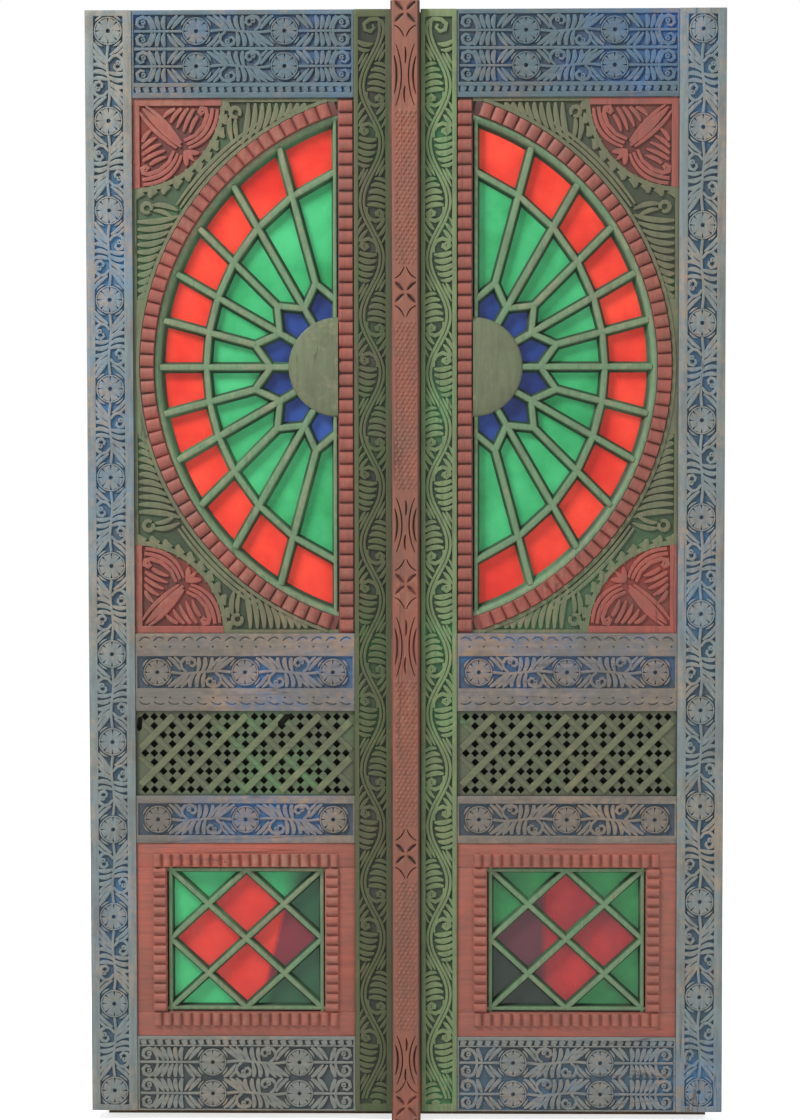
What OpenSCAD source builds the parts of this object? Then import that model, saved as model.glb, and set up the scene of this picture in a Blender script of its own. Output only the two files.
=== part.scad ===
/* [Leaves] */
// Thickness of a leaf at its stiles
leaf_t = 42; // [38:1:60]
// Width of the outer stiles
outer_stile_w = 86; // [80:1:110]
// From the centre line of the door to the panels
meeting_half_w = 95; // [90:1:120]
// Gap between the closed leaves
leaf_gap = 1.2; // [1:0.1:4]
// Height of the leaves above the foot of the frame
leaf_lift = 18; // [14:1:40]
// Set-back of the rails behind the stiles
rail_set = 2; // [1:0.5:4]

/* [Bands of a leaf] */
// Height of the bottom rail
bottom_rail_h = 141; // [135:1:180]
// Height of the lower window with its red surround
window_h = 365; // [340:1:420]
// Height of the rail above the window
window_rail_h = 89; // [80:1:110]
// Height of the lattice
lattice_h = 159; // [140:1:180]
// Height of the frieze rail below the sun panel
frieze_rail_h = 145; // [135:1:180]
// Height of the top rail
top_rail_h = 161; // [150:1:200]

/* [Sun panel] */
// Outer radius of the beaded arch
arch_r = 514; // [500:1:540]
// Width of the beaded arch
arch_w = 28; // [22:1:34]
// How far the centre of the arch lies past the centre line of the door
arch_shift = 20; // [0:1:40]
// Board between the arch and the outer stile
arch_side = 11; // [6:1:30]
// Board between the ends of the arch and the rails
arch_end = 2; // [1:0.5:12]
// Width of the upright beaded strip
strip_w = 30; // [24:1:40]
// Set-back of the sun board behind the stiles
sun_set = 6; // [4:1:9]
// How far the sun board stands behind its tongues
sun_behind = 3; // [1:0.5:6]
// Radius of the carved quarter circles in the corners
corner_r = 167; // [150:1:180]
// Plain edge round the carved grounds of the sun board
ground_in = 7; // [5:0.5:9]
// Spacing of the beads
bead_pitch = 24; // [20:0.5:30]
// Height of the beads
bead_h = 6; // [4:0.5:8]
// Width of the beads
bead_w = 17.3; // [14:0.1:19]
// Set-in of beads and teeth from the edges of their strip
bead_in = 2; // [1:0.5:4]

/* [Sun tracery] */
// Visible width of the ring inside the arch
ring_w = 18; // [14:1:24]
// Width of the bars at their back
bar_w = 17; // [13:1:22]
// Width of the flat on top of the bars
bar_top_w = 7; // [4:1:10]
// Depth of the bars
bar_d = 15; // [11:1:18]
// How far bars run past each other at the points of the star
bar_past = 3; // [2:0.5:4]
// Radius of the ring of straight bars
mid_r = 390; // [360:1:420]
// Length from the hub to the points of the star
star_tip_r = 160; // [145:1:180]
// Length from the hub to the notches of the star
star_notch_r = 125; // [115:1:135]
// Radius of the boss at the hub
boss_r = 92; // [80:1:100]
// Height of the dome of the boss
boss_dome = 10; // [6:1:16]

/* [Lower window] */
// Width of the upright red members
window_side_w = 57; // [50:1:70]
// Height of the level red members
window_end_h = 46; // [42:1:60]
// Set-back of the red members behind the stiles
window_set = 4; // [3:1:8]
// How far the red members stand behind their tongues
window_behind = 5; // [2:0.5:8]
// Width of the toothed border
dentil_w = 27; // [22:1:32]
// Spacing of the teeth
dentil_pitch = 18; // [14:0.5:24]
// Width of the teeth
tooth_w = 12.2; // [9:0.1:13]
// Width of the sash frame
sash_w = 11; // [9:1:16]
// Width of the sash bars
sash_bar_w = 14; // [11:1:18]

/* [Glass] */
// Thickness of the lips round tracery and sash
lip_t = 9; // [7:0.5:10]
// Thickness of the panes
pane_t = 3; // [2:0.5:4]
// Room between neighbouring panes behind a bar
pane_gap = 4; // [2:0.5:6]

/* [Lattice] */
// Thickness of the pierced board
lattice_t = 14; // [12:1:16]
// Set-back of the pierced board behind the stiles
lattice_set = 7; // [5:1:10]
// Spacing of the clusters of holes along the board
cluster_pitch = 68; // [64:1:76]
// Side of the square holes
hole_w = 9.6; // [8:0.2:11]
// Width of the raised slats
slat_w = 11; // [8:1:14]
// Height of the raised slats
slat_h = 2.5; // [1:0.5:4]

/* [Carving] */
// Depth of the carved grounds
carve_d = 5; // [3:0.5:7]
// Radius of the rosettes on the stiles and rails
rosette_r = 25; // [20:0.5:27]
// Half width of the carved bands
band_half = 27; // [26:0.5:30]
// Rosettes on the left outer stile
left_rosettes = 13; // [12:1:14]
// Rosettes on the right outer stile
right_rosettes = 12; // [12:1:14]
// Distance of the end rosettes from the ends of an outer stile
rosette_end = 38; // [36:1:60]
// From the top of the top rail to its upper row of rosettes
top_row_in = 38.6; // [34:0.1:44]
// Distance between the two rows of the top rail
top_row_pitch = 64.4; // [58:0.1:68]
// Shift of the top rail's rosettes away from the meeting stile
top_shift = 4; // [0:1:20]
// From the foot of the bottom rail to its lower row of rosettes
bottom_row_in = 32.4; // [30:0.1:38]
// Distance between the two rows of the bottom rail
bottom_row_pitch = 59.2; // [56:0.1:64]
// Shift of the bottom rail's rosettes toward the meeting stile
bottom_shift = 18; // [0:1:30]
// Length of one wave of the vine on the meeting stiles
wave_len = 211; // [190:1:230]
// Half width of the leaves in the spandrels
leaf_half = 4.4; // [3:0.1:5]
// Radius of the hole in the middle of a rosette
rosette_hole = 3.4; // [2:0.1:5]
// Plain margin beside the vine
vine_margin = 8.4; // [6:0.1:12]
// Least plain margin above and below the vine
vine_end = 12; // [8:1:40]
// Half width of the carved stems
stem_half = 2.7; // [2:0.1:4]
// Gap between neighbouring carved forms
carve_gap = 3; // [2:0.5:4]
// Plain margin at the ends of the carved rails
rail_margin = 6; // [4:1:12]
// Spacing of the notches along the rails
notch_pitch = 15; // [12:1:24]
// Width of the notches
notch_w = 10; // [6:0.5:11]
// Height of the notches
notch_h = 11; // [8:0.5:14]
// Distance of the notches from the edge of an end rail
notch_in = 6; // [4:1:10]
// Distance of the notches from the edges of the frieze rail
frieze_notch_in = 19; // [14:1:24]
// Distance of the end rosettes from the ends of the middle rails
triple_in = 41; // [38:1:60]
// Distance between the two rosettes of a row on the end rails
pair_pitch = 163; // [150:1:175]

/* [Joinery] */
// Wood behind the grooves and mortises of a leaf
groove_set = 15; // [12:1:18]
// Depth of the tongues of the panels in the frame of a leaf
tongue_l = 8; // [6:1:12]
// Thickness of tongues and tenons
tenon_t = 12; // [10:1:14]
// Length of the tenons
tenon_l = 48; // [40:1:54]
// Set-in of a tenon from the edges of its rail
tenon_in = 22; // [18:1:28]
// Side of the square pegs
peg_w = 10; // [8:1:12]
// How far the pegs stop short of the front of the tenons
peg_short = 3; // [2:0.5:5]
// Clearance of joints that are pushed together
fit_gap = 0.15; // [0.1:0.05:0.3]

/* [Cover strip] */
// Width of the carved cover strip
astragal_w = 54; // [48:1:60]
// Thickness of the carved cover strip
astragal_d = 22; // [16:1:30]
// Length of the cover strip past each end of its leaf
astragal_past = 12; // [6:1:13]
// Bevel along the edges of the cover strip
astragal_bevel = 6; // [3:1:8]
// Distance between the flowers on the cover strip
flower_pitch = 507; // [500:1:512]
// Radius of the flowers
flower_r = 27; // [22:1:28]
// From a flower to the middle of the waisted field beside it
waist_in = 112; // [108:1:130]
// Half height of the waisted fields
waist_h = 54; // [30:1:56]
// Half width of the waisted fields at their waist
waist_w = 6; // [5:1:10]
// Width of the thin cuts round the flowers and fields
cut_w = 3; // [2:0.1:4]

/* [Frame] */
// How far the leaves reach past the frame at the sides
side_overlap = 25; // [22:1:40]
// Width of the jambs
jamb_w = 60; // [54:1:80]
// Depth of the frame
frame_d = 80; // [60:1:120]
// Height of the threshold
threshold_h = 60; // [45:1:90]
// Height of the head
head_h = 62; // [50:1:90]
// How far the leaves reach past the head
top_overlap = 8; // [4:1:30]
// Gap between the closed leaves and the frame
rest_gap = 3; // [2:0.5:5]
// Length of the tenons of the jambs
jamb_tenon_l = 35; // [25:1:40]
// Radius of the fixing holes in the jambs
fixing_r = 5; // [4:0.5:6]
// Distance between the two fixing holes of a jamb
fixing_pitch = 1500; // [1200:10:1600]

/* [Hinges] */
// Distance of the hinge axis from the outer edge of a leaf
axis_in = 11; // [11:0.5:14]
// Distance of the hinge axis behind a leaf
axis_back = 11; // [11:0.5:14]
// Radius of the pins
pin_r = 5; // [4:0.5:6]
// Running clearance of the pins
pin_gap = 0.05; // [0.03:0.01:0.1]
// Radius of the eyes
eye_r = 10; // [9:0.5:10]
// Height of the eyes
eye_h = 34; // [26:1:44]
// Length of the hinge plates on the stiles
plate_l = 70; // [56:1:74]
// Height of the hinge plates
plate_h = 56; // [44:1:70]
// Thickness of the hinge plates
plate_t = 4; // [3:0.5:5]
// Gap between an eye and the knuckle below it
knuckle_gap = 0.3; // [0.2:0.1:1]
// Distance of the outer hinges from the ends of a leaf
hinge_end = 240; // [180:5:320]

/* [Hidden] */
LEAF_NODES = ["outer_stile", "meeting_stile", "top_rail", "frieze_rail", "window_rail", "bottom_rail",
    "sun_panel", "sun_strip", "sun_tracery", "sun_boss", "sun_red_panes", "sun_green_panes", "sun_blue_panes",
    "lattice", "lattice_back", "window_head", "window_sill", "window_outer_side", "window_inner_side",
    "window_sash", "window_red_panes", "window_green_panes", "hinge_plates", "pegs"];
$fn = 64;
eps = 1;

blue_paint = [0.38, 0.47, 0.55];
green_paint = [0.36, 0.44, 0.34];
red_paint = [0.62, 0.33, 0.30];
rose_paint = [0.58, 0.36, 0.32];
bare_wood = [0.42, 0.34, 0.27];
dark_wood = [0.12, 0.10, 0.09];
iron = [0.22, 0.21, 0.20];
red_glass = [0.88, 0.24, 0.18];
green_glass = [0.28, 0.80, 0.52];
blue_glass = [0.17, 0.29, 0.58];

// Levels across the door: the viewer stands on the side of negative y
frame_front = -frame_d / 2;
leaf_back = frame_front - rest_gap;
leaf_front = leaf_back - leaf_t;
groove_back = leaf_back - groove_set;
groove_front = groove_back - tenon_t;
rail_front = leaf_front + rail_set;
sun_front = leaf_front + sun_set;
sun_back = groove_back + sun_behind;
lip_back = groove_front;
glass_front = groove_front + lip_t;
bar_front = glass_front - bar_d;
window_front = leaf_front + window_set;
window_back = groove_back + window_behind;
lattice_front = leaf_front + lattice_set;
lattice_seat = lattice_front + lattice_t;
axis_y = leaf_back + axis_back;

// Places along the door, measured from its centre line outwards
strip_edge = meeting_half_w + strip_w;
panel_edge = arch_r + arch_side - arch_shift;
panel_w = panel_edge - meeting_half_w;
leaf_edge = panel_edge + outer_stile_w;
jamb_out = leaf_edge - side_overlap;
jamb_in = jamb_out - jamb_w;
axis_x = leaf_edge - axis_in;
vine_x = (astragal_w / 2 + leaf_gap + meeting_half_w) / 2;

// Heights of the bands, from the bottom
hub_to_centre = strip_edge + arch_shift;
sun_h = 2 * (sqrt(arch_r * arch_r - hub_to_centre * hub_to_centre) + arch_end);
bands = [bottom_rail_h, window_h, window_rail_h, lattice_h, frieze_rail_h, sun_h, top_rail_h];
leaf_h = total(bands, len(bands));
leaf_top = leaf_lift + leaf_h;
sun_z = band_mid(5);
head_top = leaf_top - top_overlap;
hinge_z = [leaf_lift + hinge_end, leaf_lift + leaf_h / 2, leaf_top - hinge_end];
fixing_z = (threshold_h + head_top - head_h) / 2;
rail_bands = [0, 2, 4, 6];
panel_bands = [1, 3, 5];

function total(v, n) = n <= 0 ? 0 : v[n - 1] + total(v, n - 1);
function band_z(i) = leaf_lift + total(bands, i);
function band_mid(i) = band_z(i) + bands[i] / 2;
function meeting_x(side) = side < 0 ? -astragal_w / 2 : astragal_w / 2 + leaf_gap;
function spread(a, b, n) = [for (i = [0 : n - 1]) a + (b - a) * i / (n - 1)];
function turned(v) = [-v[1], v[0]] / norm(v);

// Outline of a stroke along a path, with its half width running from w0 to w1
function ribbon(path, w0, w1) = let (
    n = len(path) - 1,
    side = [for (i = [0 : n]) turned(path[min(n, i + 1)] - path[max(0, i - 1)]) * (w0 + (w1 - w0) * i / n)])
    concat([for (i = [0 : n]) path[i] + side[i]], [for (i = [n : -1 : 0]) path[i] - side[i]]);

// Outline of a leaf of four points from a to b
function leaf(a, b, w) = let (belly = a + 0.45 * (b - a), side = turned(b - a) * w)
    [a, belly + side, b, belly - side];

// Outline of a fan of lobes: its foot runs from u0 to u1 at v0, and its tips reach v1
function fan(u0, u1, v0, v1, lobes, lean) = let (w = (u1 - u0) / lobes) concat(
    [[u0, v0]],
    [for (j = [0 : lobes - 1]) let (c = u0 + (j + 0.5) * w + lean) each concat(
        [[c - 0.32 * w, v1 + 0.12 * (v0 - v1)], [c + 0.24 * w, v1]],
        j < lobes - 1 ? [[c + 0.5 * w - lean / 2, v0 + 0.35 * (v1 - v0)]] : [])],
    [[u1, v0]]);

// A convex outline, anticlockwise, drawn in by d on every side
function drawn_in(pts, d) = let (n = len(pts)) [for (i = [0 : n - 1]) let (
    p = pts[i],
    a = turned(p - pts[(i + n - 1) % n]),
    b = turned(pts[(i + 1) % n] - p))
    p + d * (a + b) / (1 + a * b)];

// Places of the sun's rays, counted from the level one up and down to the last, upright ones
last_ray = 6;
ray_step = 90 / last_ray;
function ray(i) = [cos(i * ray_step), sin(i * ray_step)];
function hub_point(i, r) = abs(i) == last_ray
    ? [strip_edge + sash_w / 2, sign(i) * r]
    : [strip_edge, 0] + r * ray(i);
function arc_point(i, r) = abs(i) == last_ray
    ? let (x = strip_edge + sash_w / 2) [x, sign(i) * sqrt(r * r - pow(x + arch_shift, 2))]
    : let (d = ray(i)) [strip_edge, 0]
        + d * (sqrt(r * r - pow(hub_to_centre * d[1], 2)) - hub_to_centre * d[0]);
function star_point(i) = hub_point(i, abs(i) % 2 == 1 ? star_tip_r : star_notch_r);
ring_out = arch_r - arch_w;
ring_in = ring_out - ring_w;
ring_mid = (ring_out + ring_in) / 2;

// A block between two corners
module block(x, y, z) {
    translate([x[0], y[0], z[0]]) cube([x[1] - x[0], y[1] - y[0], z[1] - z[0]]);
}

// A flat shape, drawn as seen from the front, made thick from y = front to y = back
module slab(front, back) {
    translate([0, back, 0]) rotate([90, 0, 0]) linear_extrude(back - front) children();
}

module rect(x, z) {
    translate([x[0], z[0]]) square([x[1] - x[0], z[1] - z[0]]);
}

// Shapes drawn for the right leaf are mirrored onto the left one
module on_side(side) {
    if (side < 0) mirror([1, 0, 0]) children();
    else children();
}

// A straight bar in the plane of the door, with its profile across it, run on past b
module bar(a, b, profile, past = 0) {
    d = b - a;
    translate([a[0], 0, a[1]]) rotate([0, -atan2(d[1], d[0]), 0]) rotate([0, 90, 0])
        linear_extrude(norm(d) + past) polygon(profile);
}

// Section of a glazing bar with bevelled cheeks, run on to a ridge and past its back for trimming
function bar_profile(w) = let (
    cheek = glass_front - 0.55 * bar_d,
    ridge = cheek - (cheek - bar_front) * w / (w - bar_top_w))
    [[-w / 2, glass_front + eps], [w / 2, glass_front + eps], [w / 2, cheek], [0, ridge], [-w / 2, cheek]];
function bead_profile(w, face) = [[-w / 2, face + eps], [w / 2, face + eps],
    [0.32 * w, face - 0.7 * bead_h], [0.13 * w, face - bead_h], [-0.13 * w, face - bead_h],
    [-0.32 * w, face - 0.7 * bead_h]];

// Glazing bars trimmed to their depth
module trimmed() {
    intersection() {
        union() children();
        block([-2 * arch_r, 2 * arch_r], [bar_front, glass_front], [-2 * leaf_top, 2 * leaf_top]);
    }
}

// The joinery of a leaf: grooves for the panels, tenons and pegs, drawn gap larger where they are cut
module groove_space(gap) {
    for (i = panel_bands) block(
        [meeting_half_w - tongue_l - gap, panel_edge + tongue_l + gap],
        [groove_front - gap, groove_back + gap],
        [band_z(i) - tongue_l - gap, band_z(i + 1) + tongue_l + gap]);
}

module tenon_space(i, gap) {
    block([meeting_half_w - tenon_l - gap, panel_edge + tenon_l + gap],
        [groove_front - gap, groove_back + gap],
        [band_z(i) + tenon_in - gap, band_z(i + 1) - tenon_in + gap]);
}

module peg_space(gap) {
    half = peg_w / 2 + gap;
    for (i = rail_bands, x = [meeting_half_w - tenon_l / 2, panel_edge + tenon_l / 2], k = [0.35, 0.65]) {
        z = band_z(i) + k * bands[i];
        block([x - half, x + half],
            [groove_front + peg_short - gap, leaf_back + (gap > 0 ? eps : 0)], [z - half, z + half]);
    }
}

// Carving, drawn with u along a band and v across it
module rosette(r) {
    difference() {
        polygon([for (k = [0 : 7]) each [
            0.55 * r * [cos(45 * k), sin(45 * k)],
            r * [cos(45 * k + 8), sin(45 * k + 8)],
            r * [cos(45 * k + 37), sin(45 * k + 37)]]]);
        circle(r = rosette_hole, $fn = 16);
    }
}

// Scrolls between two rosettes that stand length apart
module scrolls(length) {
    start = rosette_r + carve_gap;
    mid = [length / 2, 0];
    sway = 0.14 * band_half;
    stem = [for (k = [0 : 4]) [start + (length - 2 * start) * k / 4, -sway * sin(90 * k)]];
    polygon(ribbon(stem, stem_half, stem_half));
    for (turn = [0, 180]) translate(mid) rotate(turn) translate(-mid) {
        polygon(fan(0.36 * length, 0.66 * length, 0.36 * band_half, 0.92 * band_half, 3, 0.03 * length));
        polygon(leaf([0.17 * length, 0.88 * band_half], [0.31 * length, 0.34 * band_half], 4));
        polygon(leaf([0.18 * length, -0.88 * band_half], [0.33 * length, -0.34 * band_half], 4));
    }
}

// A pair of fans from a rosette to the end of a band
module end_scrolls(length) {
    for (s = [-1, 1])
        polygon(fan(rosette_r + carve_gap, length - carve_gap,
            s * 0.16 * band_half, s * 0.92 * band_half, 3, 0));
}

// A row of rosettes at the given places, with scrolls between them and out to both ends
module rosette_row(places, ends) {
    last = len(places) - 1;
    for (p = places) translate([p, 0]) rosette(rosette_r);
    for (i = [1 : last]) translate([places[i - 1], 0]) scrolls(places[i] - places[i - 1]);
    if (places[0] - ends[0] > 2 * rosette_r)
        translate([places[0], 0]) mirror([1, 0]) end_scrolls(places[0] - ends[0]);
    if (ends[1] - places[last] > 2 * rosette_r)
        translate([places[last], 0]) end_scrolls(ends[1] - places[last]);
}

// One wave of the vine on a meeting stile, with its two fans
module wave(f) {
    n = 8;
    gap = 0.012;
    mid = [wave_len / 2, 0];
    polygon(ribbon([for (k = [0 : n]) let (t = gap + (1 - 2 * gap) * k / n)
        [t * wave_len, -0.74 * f * sin(360 * t)]], stem_half, stem_half));
    for (turn = [0, 180]) translate(mid) rotate(turn) translate(-mid)
        polygon(concat(fan(0.12 * wave_len, 0.42 * wave_len, -0.12 * f, 0.92 * f, 4, 0.02 * wave_len),
            [[0.26 * wave_len, -0.46 * f]]));
}

// The motif of a carved corner, from the corner at the origin
module corner_motif() {
    r = corner_r;
    lobes = 5;
    polygon(leaf([0.11 * r, 0.11 * r], [0.53 * r, 0.53 * r], 0.055 * r));
    for (flip = [0, 1]) mirror(flip ? [1, -1] : [0, 0]) {
        polygon(leaf([0.74 * r, 0.6 * r], [0.59 * r, 0.55 * r], 0.032 * r));
        for (k = [0 : lobes]) let (t = k / lobes)
            polygon(leaf([0.28 + 0.39 * t, 0.12 - 0.035 * t] * r,
                [0.46 + 0.21 * t, 0.31 - 0.01 * t] * r, 0.024 * r));
        polygon(ribbon([[0.57, 0.43] * r, [0.71, 0.37] * r, [0.77, 0.13] * r], stem_half, stem_half));
        polygon(ribbon([[0.62, 0.49] * r, [0.79, 0.43] * r, [0.87, 0.16] * r], stem_half, stem_half));
    }
}

// Where the border of the arch lies, from a corner of the sun board: over a place along the rail,
// and beside a place along the stile
function arch_over(p) = sun_h / 2 - sqrt(pow(arch_r + ground_in, 2) - pow(panel_edge + arch_shift - p, 2));
function arch_beside(q) = panel_edge + arch_shift - sqrt(pow(arch_r + ground_in, 2) - pow(sun_h / 2 - q, 2));

// The leaves of the two spandrels beside a carved corner
module spandrel_leaves() {
    r = corner_r;
    over = 2 * carve_gap;
    tip = ground_in + 0.03 * r;
    for (k = [0 : 3]) let (p = (1.265 + 0.09 * k) * r)
        polygon(leaf([p + 0.12 * r, tip], [p, arch_over(p) - over], leaf_half));
    polygon(leaf([1.3 * r, tip], [1.08 * r, 0.13 * r], 0.75 * leaf_half));
    polygon(leaf([1.09 * r, 0.3 * r], [1.155 * r, arch_over(1.155 * r) - over], 0.75 * leaf_half));
    polygon(leaf([1.18 * r, 0.2 * r], [1.22 * r, arch_over(1.22 * r) - over], 0.75 * leaf_half));
    for (k = [0 : 6]) let (q = (1.277 + 0.09 * k) * r)
        polygon(leaf([tip, q + 0.13 * r], [arch_beside(q) - over, q], leaf_half));
    polygon(leaf([tip, 1.28 * r], [0.13 * r, 1.08 * r], 0.75 * leaf_half));
    polygon(leaf([0.3 * r, 1.09 * r], [arch_beside(1.155 * r) - over, 1.155 * r], 0.75 * leaf_half));
    polygon(leaf([0.2 * r, 1.18 * r], [arch_beside(1.22 * r) - over, 1.22 * r], 0.75 * leaf_half));
}

// The frame round the doorway
module threshold() {
    color(bare_wood) difference() {
        block([-jamb_out, jamb_out], [frame_front, frame_d / 2], [0, threshold_h]);
        for (s = [-1, 1]) on_side(s) jamb_tenon(fit_gap);
        frame_peg_space(fit_gap);
    }
}

module head() {
    color(bare_wood) difference() {
        block([-jamb_out, jamb_out], [frame_front, frame_d / 2], [head_top - head_h, head_top]);
        for (s = [-1, 1]) on_side(s) jamb_tenon(fit_gap);
        frame_peg_space(fit_gap);
    }
}

// The tenons at both ends of a jamb, joined through it
module jamb_tenon(gap) {
    block([jamb_in + jamb_w / 4 - gap, jamb_out - jamb_w / 4 + gap], [-frame_d / 6 - gap, frame_d / 6 + gap],
        [threshold_h - jamb_tenon_l - gap, head_top - head_h + jamb_tenon_l + gap]);
}

module frame_peg_space(gap) {
    half = peg_w / 2 + gap;
    for (s = [-1, 1], z = [threshold_h - jamb_tenon_l / 2, head_top - head_h + jamb_tenon_l / 2])
        block([s * (jamb_in + jamb_w / 2) - half, s * (jamb_in + jamb_w / 2) + half],
            [-frame_d / 6 - gap, frame_d / 2 + (gap > 0 ? eps : 0)], [z - half, z + half]);
}

module jamb(side) {
    color(bare_wood) on_side(side) difference() {
        union() {
            block([jamb_in, jamb_out], [frame_front, frame_d / 2], [threshold_h, head_top - head_h]);
            jamb_tenon(0);
        }
        frame_peg_space(fit_gap);
        for (z = hinge_z) pintle_plate(z, fit_gap);
        for (k = [-0.5, 0.5]) translate([jamb_in - eps, 0, fixing_z + k * fixing_pitch]) rotate([0, 90, 0])
            cylinder(h = jamb_w + 2 * eps, r = fixing_r);
    }
}

module frame_pegs() {
    color(bare_wood) frame_peg_space(0);
}

// The plate of a pintle, let into the front of its jamb
module pintle_plate(z, gap) {
    block([jamb_out - 0.6 * jamb_w - gap, jamb_out + (gap > 0 ? eps : 0)],
        [frame_front - (gap > 0 ? eps : 0), frame_front + plate_t + gap],
        [z - plate_h / 2 - gap, z + plate_h / 2 + gap]);
}

// Pins on the frame, each with the knuckle that carries an eye
module pintles(side) {
    color(iron) on_side(side) for (z = hinge_z) {
        knuckle_top = z - eye_h / 2 - knuckle_gap;
        knuckle_foot = z - plate_h / 2;
        union() {
            pintle_plate(z, 0);
            block([jamb_out, axis_x], [frame_front, frame_front + plate_t], [knuckle_foot, knuckle_top]);
            translate([axis_x, axis_y, knuckle_foot]) cylinder(h = knuckle_top - knuckle_foot, r = eye_r);
            translate([axis_x, axis_y, knuckle_foot]) cylinder(h = plate_h, r = pin_r);
        }
    }
}

// Plates let into the back of an outer stile, each with its eye on a short neck
module hinge_plate_space(z, gap) {
    block([axis_x + eye_r - plate_l - gap, axis_x + eye_r + gap],
        [leaf_back - plate_t - gap, leaf_back + (gap > 0 ? eps : 0)],
        [z - plate_h / 2 - gap, z + plate_h / 2 + gap]);
}

module hinge_plates(side) {
    color(iron) on_side(side) for (z = hinge_z) difference() {
        union() {
            hinge_plate_space(z, 0);
            block([axis_x - 0.7 * eye_r, axis_x + 0.7 * eye_r], [leaf_back - plate_t / 2, axis_y],
                [z - eye_h / 2, z + eye_h / 2]);
            translate([axis_x, axis_y, z - eye_h / 2]) cylinder(h = eye_h, r = eye_r);
        }
        translate([axis_x, axis_y, z - eye_h]) cylinder(h = 2 * eye_h, r = pin_r + pin_gap);
    }
}

// The frame of a leaf
module stile_blank(x) {
    difference() {
        block(x, [leaf_front, leaf_back], [leaf_lift, leaf_top]);
        groove_space(fit_gap);
        for (i = rail_bands) tenon_space(i, fit_gap);
        peg_space(fit_gap);
    }
}

module outer_stile(side) {
    n = side < 0 ? left_rosettes : right_rosettes;
    mid_x = (panel_edge + leaf_edge) / 2;
    places = spread(leaf_lift + rosette_end, leaf_top - rosette_end, n);
    ends = [places[0] - band_half, places[n - 1] + band_half];
    color(blue_paint) on_side(side) difference() {
        stile_blank([panel_edge, leaf_edge]);
        for (z = hinge_z) hinge_plate_space(z, fit_gap);
        slab(leaf_front - eps, leaf_front + carve_d) difference() {
            rect([mid_x - band_half, mid_x + band_half], ends);
            translate([mid_x, 0]) rotate(90) rosette_row(places, ends);
        }
    }
}

module meeting_stile(side) {
    half = meeting_half_w - vine_x - vine_margin;
    waves = floor((leaf_h - 2 * vine_end) / wave_len);
    length = waves * wave_len;
    end = (leaf_h - length) / 2 - vine_end;
    foot = leaf_lift + vine_end + end;
    color(green_paint) on_side(side) difference() {
        stile_blank([meeting_x(side), meeting_half_w]);
        slab(leaf_front - eps, leaf_front + carve_d) difference() {
            rect([vine_x - half, vine_x + half], [foot - end, foot + length + end]);
            for (k = [1 : waves]) translate([vine_x, foot + k * wave_len]) rotate(-90) wave(half);
            if (end > 8 * carve_gap) translate([vine_x, foot + length / 2])
                for (turn = [0, 180]) rotate(turn) translate([0, length / 2]) rotate(90)
                    polygon(fan(carve_gap, end - carve_gap, -0.7 * half, 0.88 * half, 4, 0));
        }
    }
}

module rail_blank(i) {
    difference() {
        union() {
            block([meeting_half_w, panel_edge], [rail_front, leaf_back], [band_z(i), band_z(i + 1)]);
            tenon_space(i, 0);
        }
        groove_space(fit_gap);
        peg_space(fit_gap);
    }
}

// A rail with one sunk band for each given height, a row of rosettes in each, and rows of notches
module carved_rail(side, i, heights, places, notch_z) {
    ends = [meeting_half_w + rail_margin, panel_edge - rail_margin];
    teeth = floor((ends[1] - ends[0]) / notch_pitch);
    color(blue_paint) on_side(side) difference() {
        rail_blank(i);
        slab(rail_front - eps, rail_front + carve_d) {
            for (z = heights) difference() {
                rect(ends, [z - band_half, z + band_half]);
                translate([0, z]) rosette_row(places, ends);
            }
            for (z = notch_z, k = [0 : teeth - 1])
                translate([ends[0] + (k + 0.5) * (ends[1] - ends[0]) / teeth, 0])
                    polygon([[-notch_w / 2, z[0]], [notch_w / 2, z[0]], [0, z[1]]]);
        }
    }
}

function pair_places(shift) = [for (k = [-0.5, 0.5]) meeting_half_w + panel_w / 2 + shift + k * pair_pitch];
function triple_places() = [meeting_half_w + triple_in, meeting_half_w + panel_w / 2, panel_edge - triple_in];

module top_rail(side) {
    upper = band_z(7) - top_row_in;
    rows = [upper - top_row_pitch, upper];
    notch_z = band_z(6) + notch_in;
    carved_rail(side, 6, rows, pair_places(top_shift), [[notch_z, notch_z + notch_h]]);
}

module frieze_rail(side) {
    foot = band_z(4) + frieze_notch_in;
    top = band_z(5) - frieze_notch_in;
    carved_rail(side, 4, [band_mid(4)], triple_places(), [[foot, foot + notch_h], [top, top - notch_h]]);
}

module window_rail(side) {
    carved_rail(side, 2, [band_mid(2)], triple_places(), []);
}

module bottom_rail(side) {
    lower = band_z(0) + bottom_row_in;
    rows = [lower, lower + bottom_row_pitch];
    notch_z = band_z(1) - notch_in;
    carved_rail(side, 0, rows, pair_places(-bottom_shift), [[notch_z, notch_z - notch_h]]);
}

module pegs(side) {
    color(bare_wood) on_side(side) peg_space(0);
}

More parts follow.
